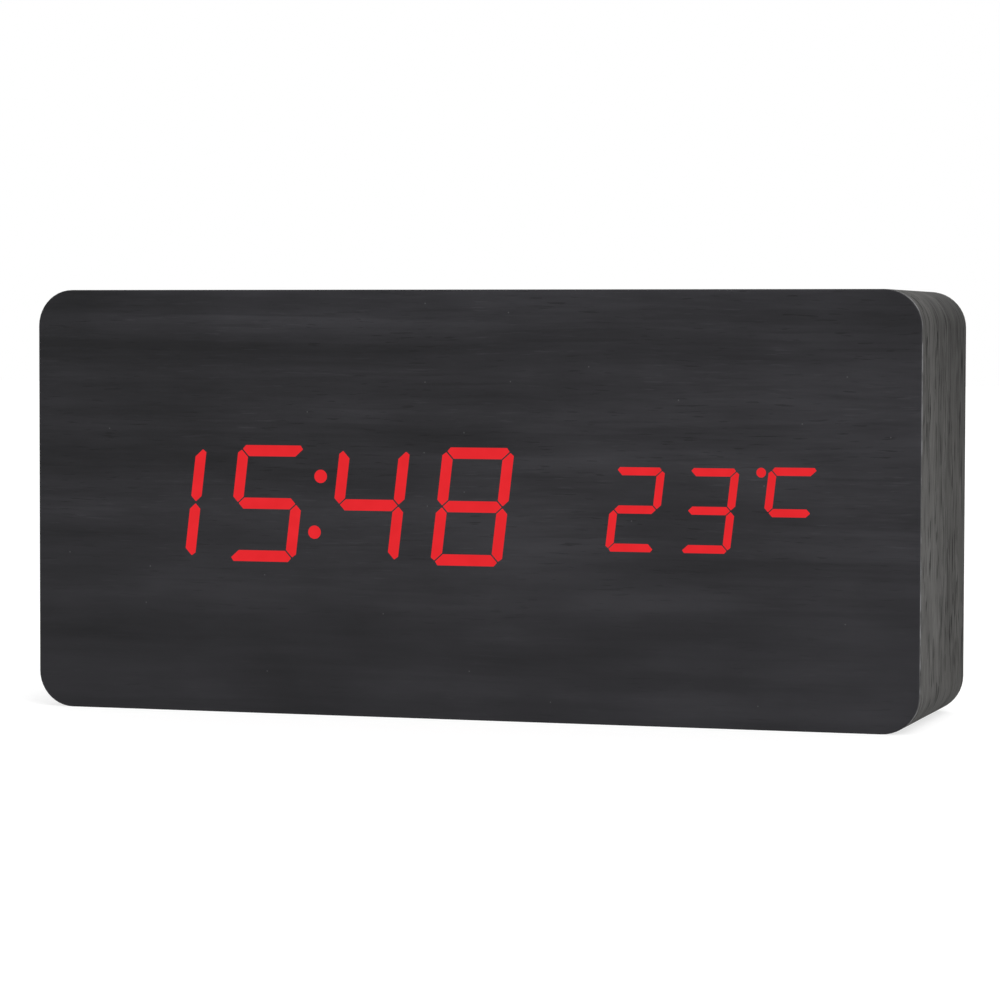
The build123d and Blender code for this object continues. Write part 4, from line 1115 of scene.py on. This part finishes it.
# Small parts on the control board. Depths and lengths are measured from a part's rearmost point.
switch = {"body": (24, 24, 26), "cover": (188, 188, 186), "coverDepth": 0.35, "edge": 0.12}
microphone = {
    "can": (192, 192, 190), "felt": (24, 24, 26), "feltRadius": 2.4, "faceDepth": 0.05,
    "fluff": 0.15, "fluffDepth": 0.1, "edge": 0.12,
}
probe = {"resin": (22, 22, 22), "wire": (190, 190, 188), "beadLength": 3.25, "edge": 0.05}
buzzer = {"plastic": (25, 25, 27), "ring": 2.2, "ringReach": 0.25, "ringHeight": 0.15, "edge": 0.3}


def switchLook():
    # A black body under a pressed steel cover
    look = mouldedLook("switchBody", switch["body"], 0.5)
    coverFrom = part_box("button_switches")[1].y / mm - switch["coverDepth"]
    plate(look, look.place().part("Y") > coverFrom, switch["cover"])
    return look


def microphoneLook():
    # An aluminium can with black felt over its open end, on two pins
    look = metalLook("microphoneCan", microphone["can"], 0.3)
    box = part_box("microphone")
    face = look.place().part("Y") > box[1].y / mm - microphone["faceDepth"]
    felt = face * (fromAxis(look, middleOf(box)) < microphone["feltRadius"])
    fluff = look.noise(look.place(), microphone["fluff"], detail=3)
    look.paint(felt, microphone["felt"])
    look.emboss(felt * fluff * microphone["fluffDepth"])
    look.set(Metallic=1 - felt)
    return look


def probeLook():
    # A bead of dark resin on two tinned wires
    look = mouldedLook("probeResin", probe["resin"], 0.25, 0.6, 0.01)
    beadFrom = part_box("temperature_probe")[1].y / mm - probe["beadLength"]
    plate(look, look.place().part("Y") < beadFrom, probe["wire"])
    return look


def buzzerLook():
    # Black plastic with a raised ring round its port
    look = mouldedLook("buzzerPlastic", buzzer["plastic"], 0.42)
    away = fromAxis(look, middleOf(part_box("alarm_buzzer")))
    look.emboss(look.near(away, buzzer["ring"], buzzer["ringReach"]) * buzzer["ringHeight"])
    return look


# Pressed wood fibre, as it shows where the block was cut
fibreboard = {
    "wood": (142, 112, 80), "dark": (92, 66, 42), "pale": (178, 150, 112), "fleck": (1.1, 0.25, 0.5),
    "darkStep": (0.56, 0.66), "darkShare": 0.45, "paleStep": (0.42, 0.34), "paleShare": 0.35,
}


def fibreLook():
    look = mouldedLook("fibreboard", fibreboard["wood"], 0.85, 0.4, 0.05, spread=0.22, gloss=0.2)
    flecks = look.noise(look.place(), fibreboard["fleck"], detail=3, seed=17)
    for shade in ("dark", "pale"):
        mask = look.step(flecks, *fibreboard[shade + "Step"]) * fibreboard[shade + "Share"]
        look.paint(mask, fibreboard[shade])
    return look


electrolytics()
crystalCan()
lampRow()
resistorRow()
solderJoints()
clockPlastic = chipLook("clockChip", "clock_chip")
soften("clock_chip", "clock_circuit", clockPlastic, "chip_plastic", chip["edge"])
driverPlastic = chipLook("driverChip", "led_driver_chips")
soften("led_driver_chips", "driver_circuits", driverPlastic, "chip_plastic", chip["edge"])
soften("button_switches", "push_switches", switchLook(), "switch_body", switch["edge"])
soften("microphone", "sound_pickup", microphoneLook(), "microphone_can", microphone["edge"])
soften("temperature_probe", "probe_bead", probeLook(), "probe_resin", probe["edge"])
soften("alarm_buzzer", "sounder", buzzerLook(), "buzzer_plastic", buzzer["edge"])
dress(boardLook("displayBoard", "display_board"), "display_board")
dress(boardLook("controlBoard", "control_board"), "control_board")
dress(mouldedLook("diffuserSheet", (226, 224, 216), 0.5, 0.25, 0.01), "diffuser_sheet")
dress(mouldedLook("maskPlastic", (218, 216, 208), 0.5, 0.4, 0.01), "segment_mask")
dress(fibreLook(), "case_block")
print("inside finished")
